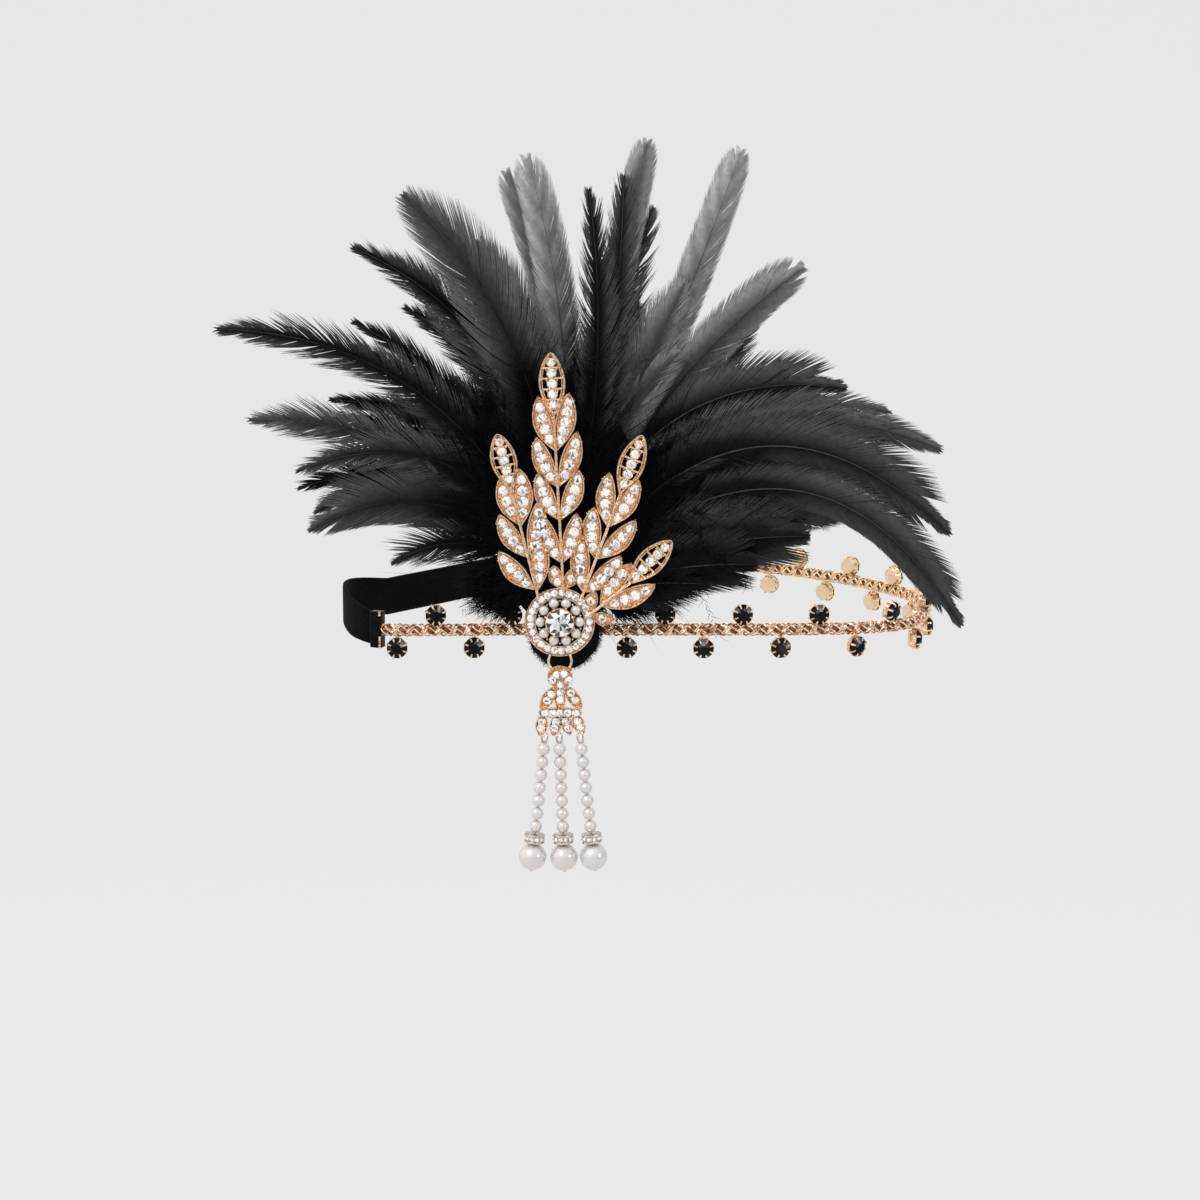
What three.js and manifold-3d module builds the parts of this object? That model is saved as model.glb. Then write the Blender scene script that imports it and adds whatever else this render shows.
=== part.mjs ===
// Flapper headband: elastic band, rope chain with black stones, feather plume,
// jewelled leaf spray with a round medallion and a three-strand pearl drop.
// Millimetres, +Z up, -Y towards the viewer. The origin is the middle of the head opening.
import * as THREE from 'three';
import Module from 'manifold-3d';
import { mergeVertices } from 'three/addons/utils/BufferGeometryUtils.js';

const wasm = await Module();
wasm.setup();

// Head loop
const loopWidth = 173;
const loopDepth = 118;
const bandHeight = 11.3;
const bandThickness = 1.2;
const bandShare = 0.37;          // share of the loop that is elastic, the rest is chain
const clampLength = 3.6;
const clampWall = 0.6;
const fitGap = 0.3;
const mergeStep = 0.05;          // edges shorter than this are merged away

// Rope chain and its black stones
const ropeDiameter = 3.4;
const blackStoneDiameter = 6.0;
const blackStoneHeight = 1.8;
const cupWall = 0.25;
const blackStoneCount = 27;
const firstStone = 3.9;          // from the band's clamp to the first stone's middle
const lastStone = 11.1;          // from the last stone's middle to the other clamp
const upperStoneRise = 4.4;
const lowerStoneDrop = 5.2;

// Brooch
const medallionX = -22;
const medallionZ = 4.1;
const medallionDiameter = 20;
const medallionThickness = 1.9;
const centreStoneDiameter = 7.8;
const sprayThickness = 1.2;
const sprayReach = 67.7;         // length of the middle branch with its top leaf
const leafLength = 16;
const leafWidth = 4.7;
const leafRim = 0.55;
const paveDiameter = 2.7;
const pavePitch = 3.1;

// Felt pad and plume
const padWidth = 22;
const padHeight = 24;
const padThickness = 2.2;
const plumeReach = 125;          // root to the tip of a feather of full length
const plumeRootWidth = 16.4;
const plumeRootHeight = 30;
const plumeRootDepth = 3.3;
const plumeRootRise = 8;         // from the medallion's middle to where the feathers start
const downRise = 4;              // from the plume's back to the middle of the down
const downAside = 2;
const featherWidth = 15;
const featherThickness = 1.4;

// Drop
const ringDiameter = 7.3;
const ringWire = 0.8;
const lugHole = 1.5;
const lugWall = 0.55;
const capLength = 20;
const capThickness = 1.2;
const smallPearlDiameter = 3.7;
const smallPearlPitch = 3.8;
const smallPearlCount = 7;
const rondelleDiameter = 6;
const rondelleHeight = 2.6;
const largePearlDiameter = 8;
const strandWire = 0.6;

const frontY = -loopDepth / 2;
const cupBack = 1.3;
const cupFront = 0.7;
const padBackY = frontY - cupFront - blackStoneHeight - fitGap;
const padFrontY = padBackY - padThickness;
const plumeBackY = padFrontY - fitGap;
const medallionBackY = plumeBackY - plumeRootDepth - fitGap;
const ringY = medallionBackY + lugHole / 2 + lugWall - 0.2;
const ringTopZ = medallionZ - medallionDiameter / 2 + lugHole / 2 + lugWall + 0.2;
const ringRadius = (ringDiameter - ringWire) / 2;
const ringZ = ringTopZ - ringRadius;
const capBackY = ringY - lugHole / 2 - lugWall + 0.3;
const capTopZ = ringZ - ringRadius + lugHole / 2 + lugWall + 0.3;

function material(colour, roughness, metalness) {
  return new THREE.MeshStandardMaterial({ color: colour, roughness, metalness });
}

const roseGold = material(0xd9a678, 0.28, 1.0);
const blackElastic = material(0x0b0b0c, 0.85, 0);
const blackGlass = material(0x050506, 0.12, 0);
const blackFelt = material(0x0a0a0a, 0.95, 0);
const blackFeather = material(0x111112, 0.8, 0);
const clearStone = material(0xe8edf0, 0.05, 0);
const pearl = material(0xf1eee9, 0.22, 0);
const silver = material(0xc9c6c0, 0.25, 1.0);

const group = new THREE.Group();

function place(name, geometry, surface) {
  geometry.computeVertexNormals();
  const mesh = new THREE.Mesh(geometry, surface);
  mesh.name = name;
  group.add(mesh);
  return mesh;
}

function volumeOf(geometry) {
  const point = geometry.attributes.position;
  const index = geometry.index.array;
  const a = new THREE.Vector3();
  const b = new THREE.Vector3();
  const c = new THREE.Vector3();
  let volume = 0;
  for (let i = 0; i < index.length; i += 3) {
    a.fromBufferAttribute(point, index[i]);
    b.fromBufferAttribute(point, index[i + 1]);
    c.fromBufferAttribute(point, index[i + 2]);
    volume += a.dot(b.cross(c)) / 6;
  }
  return volume;
}

// Rings of points joined into one closed skin with flat ends.
function skin(rings) {
  const sides = rings[0].length;
  const positions = rings.flatMap(ring => ring.flatMap(p => [p.x, p.y, p.z]));
  const index = [];
  for (let i = 0; i + 1 < rings.length; i++) {
    for (let j = 0; j < sides; j++) {
      const a = i * sides + j;
      const b = i * sides + (j + 1) % sides;
      index.push(a, b, b + sides, a, b + sides, a + sides);
    }
  }
  const last = (rings.length - 1) * sides;
  for (let j = 1; j + 1 < sides; j++) {
    index.push(0, j + 1, j, last, last + j, last + j + 1);
  }
  const geometry = new THREE.BufferGeometry();
  geometry.setAttribute('position', new THREE.Float32BufferAttribute(positions, 3));
  geometry.setIndex(index);
  if (volumeOf(geometry) < 0) {
    index.reverse();
    geometry.setIndex(index);
  }
  return geometry;
}

function solidOf(geometry) {
  const bare = geometry.clone();
  bare.deleteAttribute('normal');
  bare.deleteAttribute('uv');
  const welded = mergeVertices(bare, 1e-4);
  const corners = [];
  const index = welded.index.array;
  for (let i = 0; i < index.length; i += 3) {
    const [a, b, c] = [index[i], index[i + 1], index[i + 2]];
    if (a !== b && b !== c && c !== a) corners.push(a, b, c);
  }
  return new wasm.Manifold(new wasm.Mesh({
    numProp: 3,
    vertProperties: Float32Array.from(welded.attributes.position.array),
    triVerts: Uint32Array.from(corners)
  }));
}

function joined(solids) {
  return solids.reduce((whole, piece) => whole.add(piece));
}

// Fills any pocket that is closed all round, and drops crumbs.
function soundSolid(solid) {
  return joined(solid.decompose().filter(piece => piece.volume() > mergeStep ** 2));
}

function geometryOf(solid) {
  const mesh = soundSolid(solid.asOriginal().simplify(mergeStep)).getMesh();
  const geometry = new THREE.BufferGeometry();
  geometry.setAttribute('position', new THREE.BufferAttribute(mesh.vertProperties, 3));
  geometry.setIndex(new THREE.BufferAttribute(mesh.triVerts, 1));
  return geometry;
}

function fused(geometries) {
  return soundSolid(joined(geometries.map(solidOf)));
}

// A turned shape: pairs of radius and height, round the local Z axis.
function turned(profile, sides) {
  const points = profile.map(([radius, height]) => new THREE.Vector2(radius, height));
  return new THREE.LatheGeometry(points, sides).rotateX(Math.PI / 2);
}

function plate(shape, thickness, divisions) {
  return new THREE.ExtrudeGeometry(shape, {
    depth: thickness,
    bevelEnabled: false,
    curveSegments: divisions
  });
}

// From flat work (right, up, towards the viewer) to the headband's own axes.
function faceFront(geometry, x, backY, z) {
  return geometry.rotateX(Math.PI / 2).translate(x, backY, z);
}

function ringOf(radius, height, sides) {
  const points = [];
  for (let j = 0; j < sides; j++) {
    const angle = (j + 0.5) / sides * 2 * Math.PI;
    points.push(new THREE.Vector3(radius * Math.cos(angle), radius * Math.sin(angle), height));
  }
  return points;
}

// A stone cut with a flat table and a band of facets, sunk a little into its setting.
function cutStone(radius, height, sides = 8) {
  return skin([ringOf(radius * 1.05, -0.15, sides), ringOf(radius * 0.55, height, sides)]);
}

// The head loop seen from above, as shares of half its width and half its depth.
// It starts at the front left, where band and chain meet, and runs to the right.
const loopPlan = [
  { across: -0.84, along: -1.0 },
  { across: -0.469, along: -1.0 },
  { across: -0.123, along: -1.0 },
  { across: 0.224, along: -1.0 },
  { across: 0.56, along: -0.99 },
  { across: 0.76, along: -0.95 },
  { across: 0.895, along: -0.85 },
  { across: 0.965, along: -0.66 },
  { across: 1.0, along: -0.36 },
  { across: 0.975, along: -0.04 },
  { across: 0.87, along: 0.26 },
  { across: 0.73, along: 0.54 },
  { across: 0.53, along: 0.8 },
  { across: 0.28, along: 0.96 },
  { across: 0.0, along: 1.0 },
  { across: -0.28, along: 0.87 },
  { across: -0.52, along: 0.58 },
  { across: -0.72, along: 0.22 },
  { across: -0.88, along: -0.08 },
  { across: -0.98, along: -0.32 },
  { across: -0.99, along: -0.62 },
  { across: -0.93, along: -0.9 }
];
const loop = new THREE.CatmullRomCurve3(
  loopPlan.map(p => new THREE.Vector3(p.across * loopWidth / 2, p.along * loopDepth / 2, 0)),
  true,
  'centripetal'
);
loop.arcLengthDivisions = 1200;
const loopLength = loop.getLength();
const chainLength = loopLength * (1 - bandShare);

function loopAt(distance) {
  const share = ((distance / loopLength) % 1 + 1) % 1;
  const point = loop.getPointAt(share);
  const along = loop.getTangentAt(share);
  const outward = new THREE.Vector3(along.y, -along.x, 0).normalize();
  return { point, along, outward };
}

// A point beside the loop: outward from it and up from it.
function besideLoop(distance, out, up) {
  const { point, outward } = loopAt(distance);
  return point.clone().addScaledVector(outward, out).add(new THREE.Vector3(0, 0, up));
}

function alongLoop(from, to, count, section) {
  const rings = [];
  for (let i = 0; i <= count; i++) {
    const distance = from + (to - from) * i / count;
    rings.push(section(distance).map(([out, up]) => besideLoop(distance, out, up)));
  }
  return skin(rings);
}

function rectangle(width, height) {
  return () => [
    [-width / 2, -height / 2],
    [width / 2, -height / 2],
    [width / 2, height / 2],
    [-width / 2, height / 2]
  ];
}

// Elastic band and the two clamps that fold round its ends.
const frontClampEnd = -fitGap;
const frontClampStart = frontClampEnd - clampLength;
const backClampStart = chainLength + fitGap;
const backClampEnd = backClampStart + clampLength;
const bandStart = backClampStart + clampWall + fitGap - loopLength;
const bandEnd = frontClampEnd - clampWall - fitGap;
place(
  'elastic_band',
  alongLoop(bandStart, bandEnd, 30, rectangle(bandThickness, bandHeight)),
  blackElastic
);

function clamp(from, to, mouthFrom, mouthTo) {
  const inside = bandThickness + 2 * fitGap;
  const outside = inside + 2 * clampWall;
  const body = solidOf(alongLoop(from, to, 2, rectangle(outside, bandHeight + 1.4)));
  const slot = solidOf(alongLoop(mouthFrom, mouthTo, 2, rectangle(inside, bandHeight + 2 * fitGap)));
  return geometryOf(body.subtract(slot));
}
place(
  'band_clamp_front',
  clamp(frontClampStart, frontClampEnd, frontClampStart - 1, frontClampEnd - clampWall),
  roseGold
);
place(
  'band_clamp_back',
  clamp(backClampStart, backClampEnd, backClampStart + clampWall, backClampEnd + 1),
  roseGold
);

// Rope chain, with a cup beside every stone.
function ropeSection() {
  const corners = [];
  for (let j = 0; j < 6; j++) {
    const angle = (j + 0.5) * Math.PI / 3;
    corners.push([ropeDiameter / 2 * Math.cos(angle), ropeDiameter / 2 * Math.sin(angle)]);
  }
  return corners;
}

const stonePitch = (chainLength - firstStone - lastStone) / (blackStoneCount - 1);
const cupRadius = blackStoneDiameter / 2 + cupWall;

function facingOut(geometry, distance, up) {
  const { point, along, outward } = loopAt(distance);
  const turn = new THREE.Matrix4().makeBasis(along, new THREE.Vector3(0, 0, 1), outward);
  return geometry.applyMatrix4(turn).translate(point.x, point.y, up);
}

const ropeParts = [alongLoop(0, chainLength, 50, ropeSection)];
for (let i = 0; i < blackStoneCount; i++) {
  const distance = firstStone + i * stonePitch;
  const up = i % 2 ? upperStoneRise : -lowerStoneDrop;
  const cup = skin([ringOf(cupRadius * 0.82, -cupBack, 8), ringOf(cupRadius, cupFront, 8)]);
  ropeParts.push(facingOut(cup, distance, up));
  const neckHeight = Math.abs(up) - cupRadius * 0.6;
  const neck = new THREE.BoxGeometry(1.3, neckHeight, 1.1);
  ropeParts.push(facingOut(neck, distance, Math.sign(up) * neckHeight / 2));
  const half = blackStoneDiameter / 2;
  const stone = skin([
    ringOf(half, cupFront + fitGap, 8),
    ringOf(half * 0.58, cupFront + blackStoneHeight, 8)
  ]);
  place(`black_stone_${String(i + 1).padStart(2, '0')}`, facingOut(stone, distance, up), blackGlass);
}
place('rope_chain', geometryOf(fused(ropeParts)), roseGold);

// Felt pad behind the medallion.
const padOutline = new THREE.Shape().absellipse(0, 0, padWidth / 2, padHeight / 2, 0, 2 * Math.PI, false);
place(
  'backing_pad',
  faceFront(plate(padOutline, padThickness, 12), medallionX + 2, padBackY, medallionZ - 3),
  blackFelt
);

// Feather plume. Each row is one feather: aim in degrees from the right, reach as a share
// of plumeReach, bow as a share of its own reach (plus is to the left of the aim), width as
// a share of featherWidth and lean as a share of its reach (plus is away from the viewer).
const feathers = [
  { aim: 142.9, reach: 0.99, bow: -0.17, width: 0.84, lean: 0.02 },
  { aim: 151.9, reach: 0.82, bow: -0.14, width: 0.88, lean: 0.08 },
  { aim: 156.1, reach: 0.65, bow: -0.24, width: 0.5, lean: 0.02 },
  { aim: 167.4, reach: 0.58, bow: -0.22, width: 1.05, lean: 0.06 },
  { aim: 164.1, reach: 0.57, bow: -0.3, width: 0.9, lean: 0.12 },
  { aim: 121.8, reach: 0.9, bow: -0.16, width: 0.5, lean: 0.1 },
  { aim: 117.8, reach: 0.82, bow: -0.12, width: 0.55, lean: 0.16 },
  { aim: 111.9, reach: 0.97, bow: -0.11, width: 1.0, lean: 0.05 },
  { aim: 128.6, reach: 0.78, bow: -0.12, width: 0.6, lean: 0.15 },
  { aim: 120.0, reach: 0.74, bow: -0.14, width: 0.6, lean: 0.2 },
  { aim: 131.9, reach: 0.74, bow: -0.12, width: 0.7, lean: 0.22 },
  { aim: 141.9, reach: 0.69, bow: -0.18, width: 0.6, lean: 0.18 },
  { aim: 94.8, reach: 0.99, bow: -0.05, width: 0.75, lean: 0.12 },
  { aim: 97.9, reach: 0.96, bow: -0.07, width: 0.68, lean: 0.18 },
  { aim: 79.2, reach: 1.02, bow: 0.01, width: 0.6, lean: 0.1 },
  { aim: 86.3, reach: 0.89, bow: -0.05, width: 0.5, lean: 0.04 },
  { aim: 81.6, reach: 0.94, bow: -0.03, width: 0.6, lean: 0.05 },
  { aim: 76.4, reach: 0.9, bow: 0.02, width: 0.5, lean: 0.15 },
  { aim: 68.3, reach: 0.76, bow: 0.02, width: 0.66, lean: 0.08 },
  { aim: 67.8, reach: 1.08, bow: -0.01, width: 0.68, lean: 0.12 },
  { aim: 52.8, reach: 0.92, bow: 0.08, width: 0.8, lean: 0.14 },
  { aim: 53.4, reach: 0.76, bow: 0.0, width: 0.6, lean: 0.2 },
  { aim: 34.3, reach: 0.8, bow: 0.22, width: 0.7, lean: 0.15 },
  { aim: 27.7, reach: 0.86, bow: 0.2, width: 0.45, lean: 0.1 },
  { aim: 19.8, reach: 0.93, bow: 0.22, width: 0.5, lean: 0.04 },
  { aim: 7.8, reach: 0.9, bow: 0.3, width: 0.9, lean: 0.0 },
  { aim: -5.9, reach: 0.92, bow: 0.29, width: 0.95, lean: 0.01 },
  { aim: 18.7, reach: 0.8, bow: 0.19, width: 0.95, lean: 0.08 },
  { aim: 14.1, reach: 0.66, bow: 0.15, width: 1.1, lean: 0.06 },
  { aim: 12, reach: 0.5, bow: 0.14, width: 1.15, lean: 0.04 },
  { aim: 172, reach: 0.4, bow: -0.2, width: 1.15, lean: 0.08 },
  { aim: 45, reach: 0.62, bow: 0.1, width: 1.0, lean: 0.25 },
  { aim: 135, reach: 0.6, bow: -0.1, width: 1.0, lean: 0.28 },
  { aim: 105, reach: 0.72, bow: -0.05, width: 0.9, lean: 0.25 },
  { aim: 75, reach: 0.68, bow: 0.03, width: 0.9, lean: 0.25 }
];

const plumeRoot = new THREE.Vector3(medallionX + 0.6, plumeBackY - plumeRootDepth / 2, medallionZ + plumeRootRise);

// A feather as a thin blade with a ridge on each face, pointed at its tip.
function featherBlade({ aim, reach, bow, width, lean }) {
  const length = reach * plumeReach;
  const angle = aim * Math.PI / 180;
  const ahead = new THREE.Vector3(Math.cos(angle), 0, Math.sin(angle));
  const aside = new THREE.Vector3(-Math.sin(angle), 0, Math.cos(angle));
  const back = new THREE.Vector3(0, 1, 0);
  const shaft = new THREE.QuadraticBezierCurve3(
    plumeRoot.clone(),
    plumeRoot.clone()
      .addScaledVector(ahead, length * 0.55)
      .addScaledVector(aside, length * bow * 2)
      .addScaledVector(back, length * lean * 0.3),
    plumeRoot.clone().addScaledVector(ahead, length).addScaledVector(back, length * lean)
  );
  const spans = [0.02, 0.34, 0.62, 0.86, 1];
  const breadth = [0.2, 0.8, 1, 0.7, 0.06];
  const rings = spans.map((share, i) => {
    const point = shaft.getPoint(share);
    const run = shaft.getTangent(share);
    const across = new THREE.Vector3().crossVectors(run, back).normalize();
    const face = new THREE.Vector3().crossVectors(across, run).normalize();
    const half = width * featherWidth * breadth[i] / 2;
    const ridge = featherThickness / 2 * (1 - 0.75 * share);
    return [
      point.clone().addScaledVector(across, half),
      point.clone().addScaledVector(face, ridge),
      point.clone().addScaledVector(across, -half),
      point.clone().addScaledVector(face, -ridge)
    ];
  });
  return skin(rings);
}

// The dense down at the middle: two flattened lobes on a root that sits against the pad.
const downWidth = plumeReach * 0.5;
const downHeight = plumeReach * 0.53;
const downDepth = plumeReach * 0.108;
const down = new THREE.SphereGeometry(1, 12, 8)
  .scale(downWidth / 2, downDepth / 2, downHeight / 2)
  .translate(medallionX - downAside, plumeBackY + downRise, medallionZ + downHeight * 0.65);
const downRight = new THREE.SphereGeometry(1, 10, 6)
  .scale(downWidth * 0.42, downDepth * 0.42, downHeight * 0.33)
  .rotateY(-0.35)
  .translate(medallionX + downWidth * 0.52, plumeBackY + downRise, medallionZ + downHeight * 0.47);
const rootOutline = new THREE.Shape()
  .absellipse(0, 0, plumeRootWidth / 2, plumeRootHeight / 2, 0, 2 * Math.PI, false);
const root = faceFront(
  plate(rootOutline, plumeRootDepth, 8),
  medallionX,
  plumeBackY,
  medallionZ + plumeRootRise + plumeRootHeight / 12
);
place(
  'feather_plume',
  geometryOf(fused([down, downRight, root, ...feathers.map(featherBlade)])),
  blackFeather
);

// Brooch in flat work: right, up, towards the viewer, from the medallion's centre.
function leafOutline(length, outer, inner) {
  const shape = new THREE.Shape();
  shape.moveTo(0, 0);
  shape.quadraticCurveTo(length * 0.58, inner * 2, length, 0);
  shape.quadraticCurveTo(length * 0.5, -outer * 2, 0, 0);
  return shape;
}

function turnedFlat(geometry, degrees, u, v, w) {
  return geometry.rotateZ(degrees * Math.PI / 180).translate(u, v, w);
}

// One jewelled leaf: a plate with a row of stones and, on a leaf that ends a branch, slots
// beside the stones. Side +1 bulges to the left of its heading.
function leafParts({ u, v, heading, length, side, stones, broad }) {
  const width = leafWidth * (broad ? 1.4 : Math.min(1, 0.45 + 0.55 * length / leafLength));
  const outer = -side * width * (broad ? 0.5 : 0.64);
  const inner = -side * width * (broad ? 0.5 : 0.36);
  const centre = t => -(outer - inner) / 2 * (1 - (2 * t - 1) ** 2);
  const body = plate(leafOutline(length, outer, inner), sprayThickness, 4);
  let solid = solidOf(body);
  if (broad) {
    for (const edge of [-1, 1]) {
      const slot = new THREE.BoxGeometry(length * 0.42, 0.7, 4)
        .translate(length * 0.55, edge * (width / 2 - leafRim - 0.5), 0);
      solid = solid.subtract(solidOf(slot));
    }
  }
  const radius = Math.min(paveDiameter, width * 0.62) / 2;
  const pitch = Math.min(pavePitch, length * 0.8 / stones);
  for (let i = 0; i < stones; i++) {
    const at = length * 0.52 + (i - (stones - 1) / 2) * pitch;
    const stone = cutStone(radius, 0.65).translate(at, centre(at / length), sprayThickness);
    solid = solid.add(solidOf(stone));
  }
  const turn = new THREE.Matrix4().makeRotationZ(heading * Math.PI / 180).setPosition(u, v, 0.5);
  return solid.transform(turn.elements);
}

// Four branches. Starts and lengths are shares of sprayReach; a leaf's foot is a share of
// its branch, its length a share of leafLength, and splay is degrees from the branch.
const branches = [
  {
    startU: 0.015, startV: 0.14, heading: 93, length: 1,
    leaves: [
      { foot: 0.72, splay: 0, long: 1.17, stones: 5, broad: true },
      { foot: 0.58, splay: 14, long: 1.02, stones: 4 },
      { foot: 0.58, splay: -15, long: 1.06, stones: 5 },
      { foot: 0.43, splay: 20, long: 0.96, stones: 4 },
      { foot: 0.43, splay: -22, long: 1.04, stones: 4 },
      { foot: 0.29, splay: 21, long: 0.93, stones: 4 },
      { foot: 0.29, splay: -24, long: 0.96, stones: 4 },
      { foot: 0.11, splay: 20, long: 0.97, stones: 4 },
      { foot: 0.11, splay: -19, long: 0.93, stones: 4 },
      { foot: 0.0, splay: 19, long: 0.46, stones: 2 },
      { foot: 0.0, splay: -28, long: 0.42, stones: 1 }
    ]
  },
  {
    startU: -0.092, startV: 0.115, heading: 103.8, length: 0.705,
    leaves: [
      { foot: 0.64, splay: 0, long: 1.06, stones: 5, broad: true },
      { foot: 0.43, splay: 8, long: 0.92, stones: 3 },
      { foot: 0.42, splay: -12, long: 1.04, stones: 4 },
      { foot: 0.23, splay: 20, long: 0.93, stones: 4 },
      { foot: 0.22, splay: -23, long: 1.05, stones: 4 },
      { foot: 0.03, splay: 30, long: 0.96, stones: 4 },
      { foot: 0.02, splay: -12, long: 1.02, stones: 4 }
    ]
  },
  {
    startU: 0.096, startV: 0.118, heading: 69.7, length: 0.72,
    leaves: [
      { foot: 0.61, splay: 0, long: 1.18, stones: 5, broad: true },
      { foot: 0.42, splay: 18, long: 0.97, stones: 4 },
      { foot: 0.42, splay: -12, long: 1.01, stones: 4 },
      { foot: 0.22, splay: 22, long: 0.93, stones: 4 },
      { foot: 0.22, splay: -25, long: 0.99, stones: 4 },
      { foot: 0.01, splay: 20, long: 0.97, stones: 4 },
      { foot: 0.01, splay: -25, long: 0.94, stones: 4 }
    ]
  },
  {
    startU: 0.13, startV: 0.035, heading: 39, length: 0.46,
    leaves: [
      { foot: 0.42, splay: 6, long: 1.14, stones: 5, broad: true },
      { foot: 0.11, splay: 14, long: 0.95, stones: 3 },
      { foot: 0.11, splay: -17, long: 1.05, stones: 4 },
      { foot: 0.0, splay: 40, long: 0.41, stones: 1 },
      { foot: 0.0, splay: -53, long: 0.41, stones: 1 }
    ]
  }
];

const medallionRadius = medallionDiameter / 2;
let brooch = solidOf(turned([
  [0, 0],
  [medallionRadius, 0],
  [medallionRadius, medallionThickness],
  [medallionRadius - 0.7, medallionThickness],
  [medallionRadius - 0.8, medallionThickness - 0.5],
  [medallionRadius * 0.7, medallionThickness - 0.5],
  [medallionRadius * 0.69, medallionThickness],
  [medallionRadius * 0.65, medallionThickness],
  [medallionRadius * 0.64, medallionThickness - 0.8],
  [0, medallionThickness - 0.8]
], 32));

// Ring of pearls round the centre stone.
const rimPearlCount = 10;
for (let i = 0; i < rimPearlCount; i++) {
  const angle = (i / rimPearlCount + 0.25) * 2 * Math.PI;
  const reach = medallionRadius * 0.52;
  const bead = new THREE.SphereGeometry(medallionRadius * 0.135, 8, 4).rotateX(Math.PI / 2)
    .translate(Math.cos(angle) * reach, Math.sin(angle) * reach, medallionThickness - 0.4);
  brooch = brooch.add(solidOf(bead));
}

// Raised seat of the centre stone.
const stoneRadius = centreStoneDiameter / 2;
const seatTop = medallionThickness + 1.1;
brooch = brooch.add(solidOf(turned([
  [0, 0.4],
  [stoneRadius * 0.85, 0.4],
  [stoneRadius, seatTop],
  [stoneRadius - 0.35, seatTop],
  [stoneRadius - 0.7, seatTop - 0.9],
  [0, seatTop - 0.9]
], 16)));
place(
  'centre_stone',
  faceFront(turned([
    [0, seatTop - 0.6],
    [stoneRadius * 0.55, seatTop - 0.6],
    [stoneRadius, seatTop + fitGap],
    [stoneRadius, seatTop + fitGap + 0.15],
    [stoneRadius * 0.6, seatTop + 1.5],
    [0, seatTop + 1.5]
  ], 16), medallionX, medallionBackY, medallionZ),
  clearStone
);

for (const branch of branches) {
  const startU = branch.startU * sprayReach;
  const startV = branch.startV * sprayReach;
  const length = branch.length * sprayReach;
  const heading = branch.heading * Math.PI / 180;
  const stemLength = length * branch.leaves[0].foot + 2.4;
  const stem = new THREE.BoxGeometry(stemLength, 0.8, sprayThickness + 0.4)
    .translate(stemLength / 2 - 1.2, 0, sprayThickness / 2 + 0.7);
  brooch = brooch.add(solidOf(turnedFlat(stem, branch.heading, startU, startV, 0)));
  for (const leaf of branch.leaves) {
    const side = Math.sign(leaf.splay) || 1;
    const aside = leaf.broad ? 0 : side * 0.15;
    brooch = brooch.add(leafParts({
      u: startU + Math.cos(heading) * length * leaf.foot - Math.sin(heading) * aside,
      v: startV + Math.sin(heading) * length * leaf.foot + Math.cos(heading) * aside,
      heading: branch.heading + leaf.splay,
      length: leaf.long * leafLength,
      side,
      stones: leaf.stones,
      broad: leaf.broad
    }));
  }
}

// A small eye whose hole runs across, for a ring's wire.
function eye(x, y, z) {
  const outside = turned([[0, -0.6], [lugHole / 2 + lugWall, -0.6], [lugHole / 2 + lugWall, 0.6], [0, 0.6]], 10);
  const hole = turned([[0, -1], [lugHole / 2, -1], [lugHole / 2, 1], [0, 1]], 10);
  return solidOf(outside).subtract(solidOf(hole))
    .transform(new THREE.Matrix4().makeRotationY(Math.PI / 2).setPosition(x, y, z).elements);
}
const toFront = new THREE.Matrix4().makeRotationX(Math.PI / 2)
  .setPosition(medallionX, medallionBackY, medallionZ);
brooch = brooch.transform(toFront.elements).add(eye(medallionX, ringY, ringTopZ));
place('brooch', geometryOf(brooch), roseGold);

// Ring between medallion and drop.
place(
  'jump_ring',
  new THREE.TorusGeometry(ringRadius, ringWire / 2, 6, 16)
    .rotateX(Math.PI / 2)
    .translate(medallionX, ringY, ringZ),
  roseGold
);

// Drop cap: a fan plate with two windows. Outline and stones are shares of capLength,
// across from its centre line and down from its top.
const capSide = [
  { across: 0.0, down: 0.0 },
  { across: 0.12, down: 0.02 },
  { across: 0.185, down: 0.1 },
  { across: 0.18, down: 0.2 },
  { across: 0.15, down: 0.27 },
  { across: 0.23, down: 0.38 },
  { across: 0.265, down: 0.5 },
  { across: 0.285, down: 0.6 },
  { across: 0.285, down: 0.71 },
  { across: 0.35, down: 0.84 },
  { across: 0.355, down: 0.97 },
  { across: 0.3, down: 0.99 },
  { across: 0.225, down: 0.83 },
  { across: 0.16, down: 0.99 },
  { across: 0.1, down: 0.97 },
  { across: 0.0, down: 0.86 }
];
const capOutline = new THREE.Shape();
capSide.forEach(({ across, down }, i) => {
  if (i) capOutline.lineTo(-across * capLength, -down * capLength);
  else capOutline.moveTo(0, 0);
});
capSide.slice(1, -1).reverse().forEach(({ across, down }) => {
  capOutline.lineTo(across * capLength, -down * capLength);
});
for (const side of [-1, 1]) {
  const window = new THREE.Path();
  window.moveTo(side * 0.055 * capLength, -0.56 * capLength);
  window.lineTo(side * 0.1 * capLength, -0.46 * capLength);
  window.lineTo(side * 0.17 * capLength, -0.57 * capLength);
  window.lineTo(side * 0.055 * capLength, -0.58 * capLength);
  capOutline.holes.push(window);
}
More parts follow.
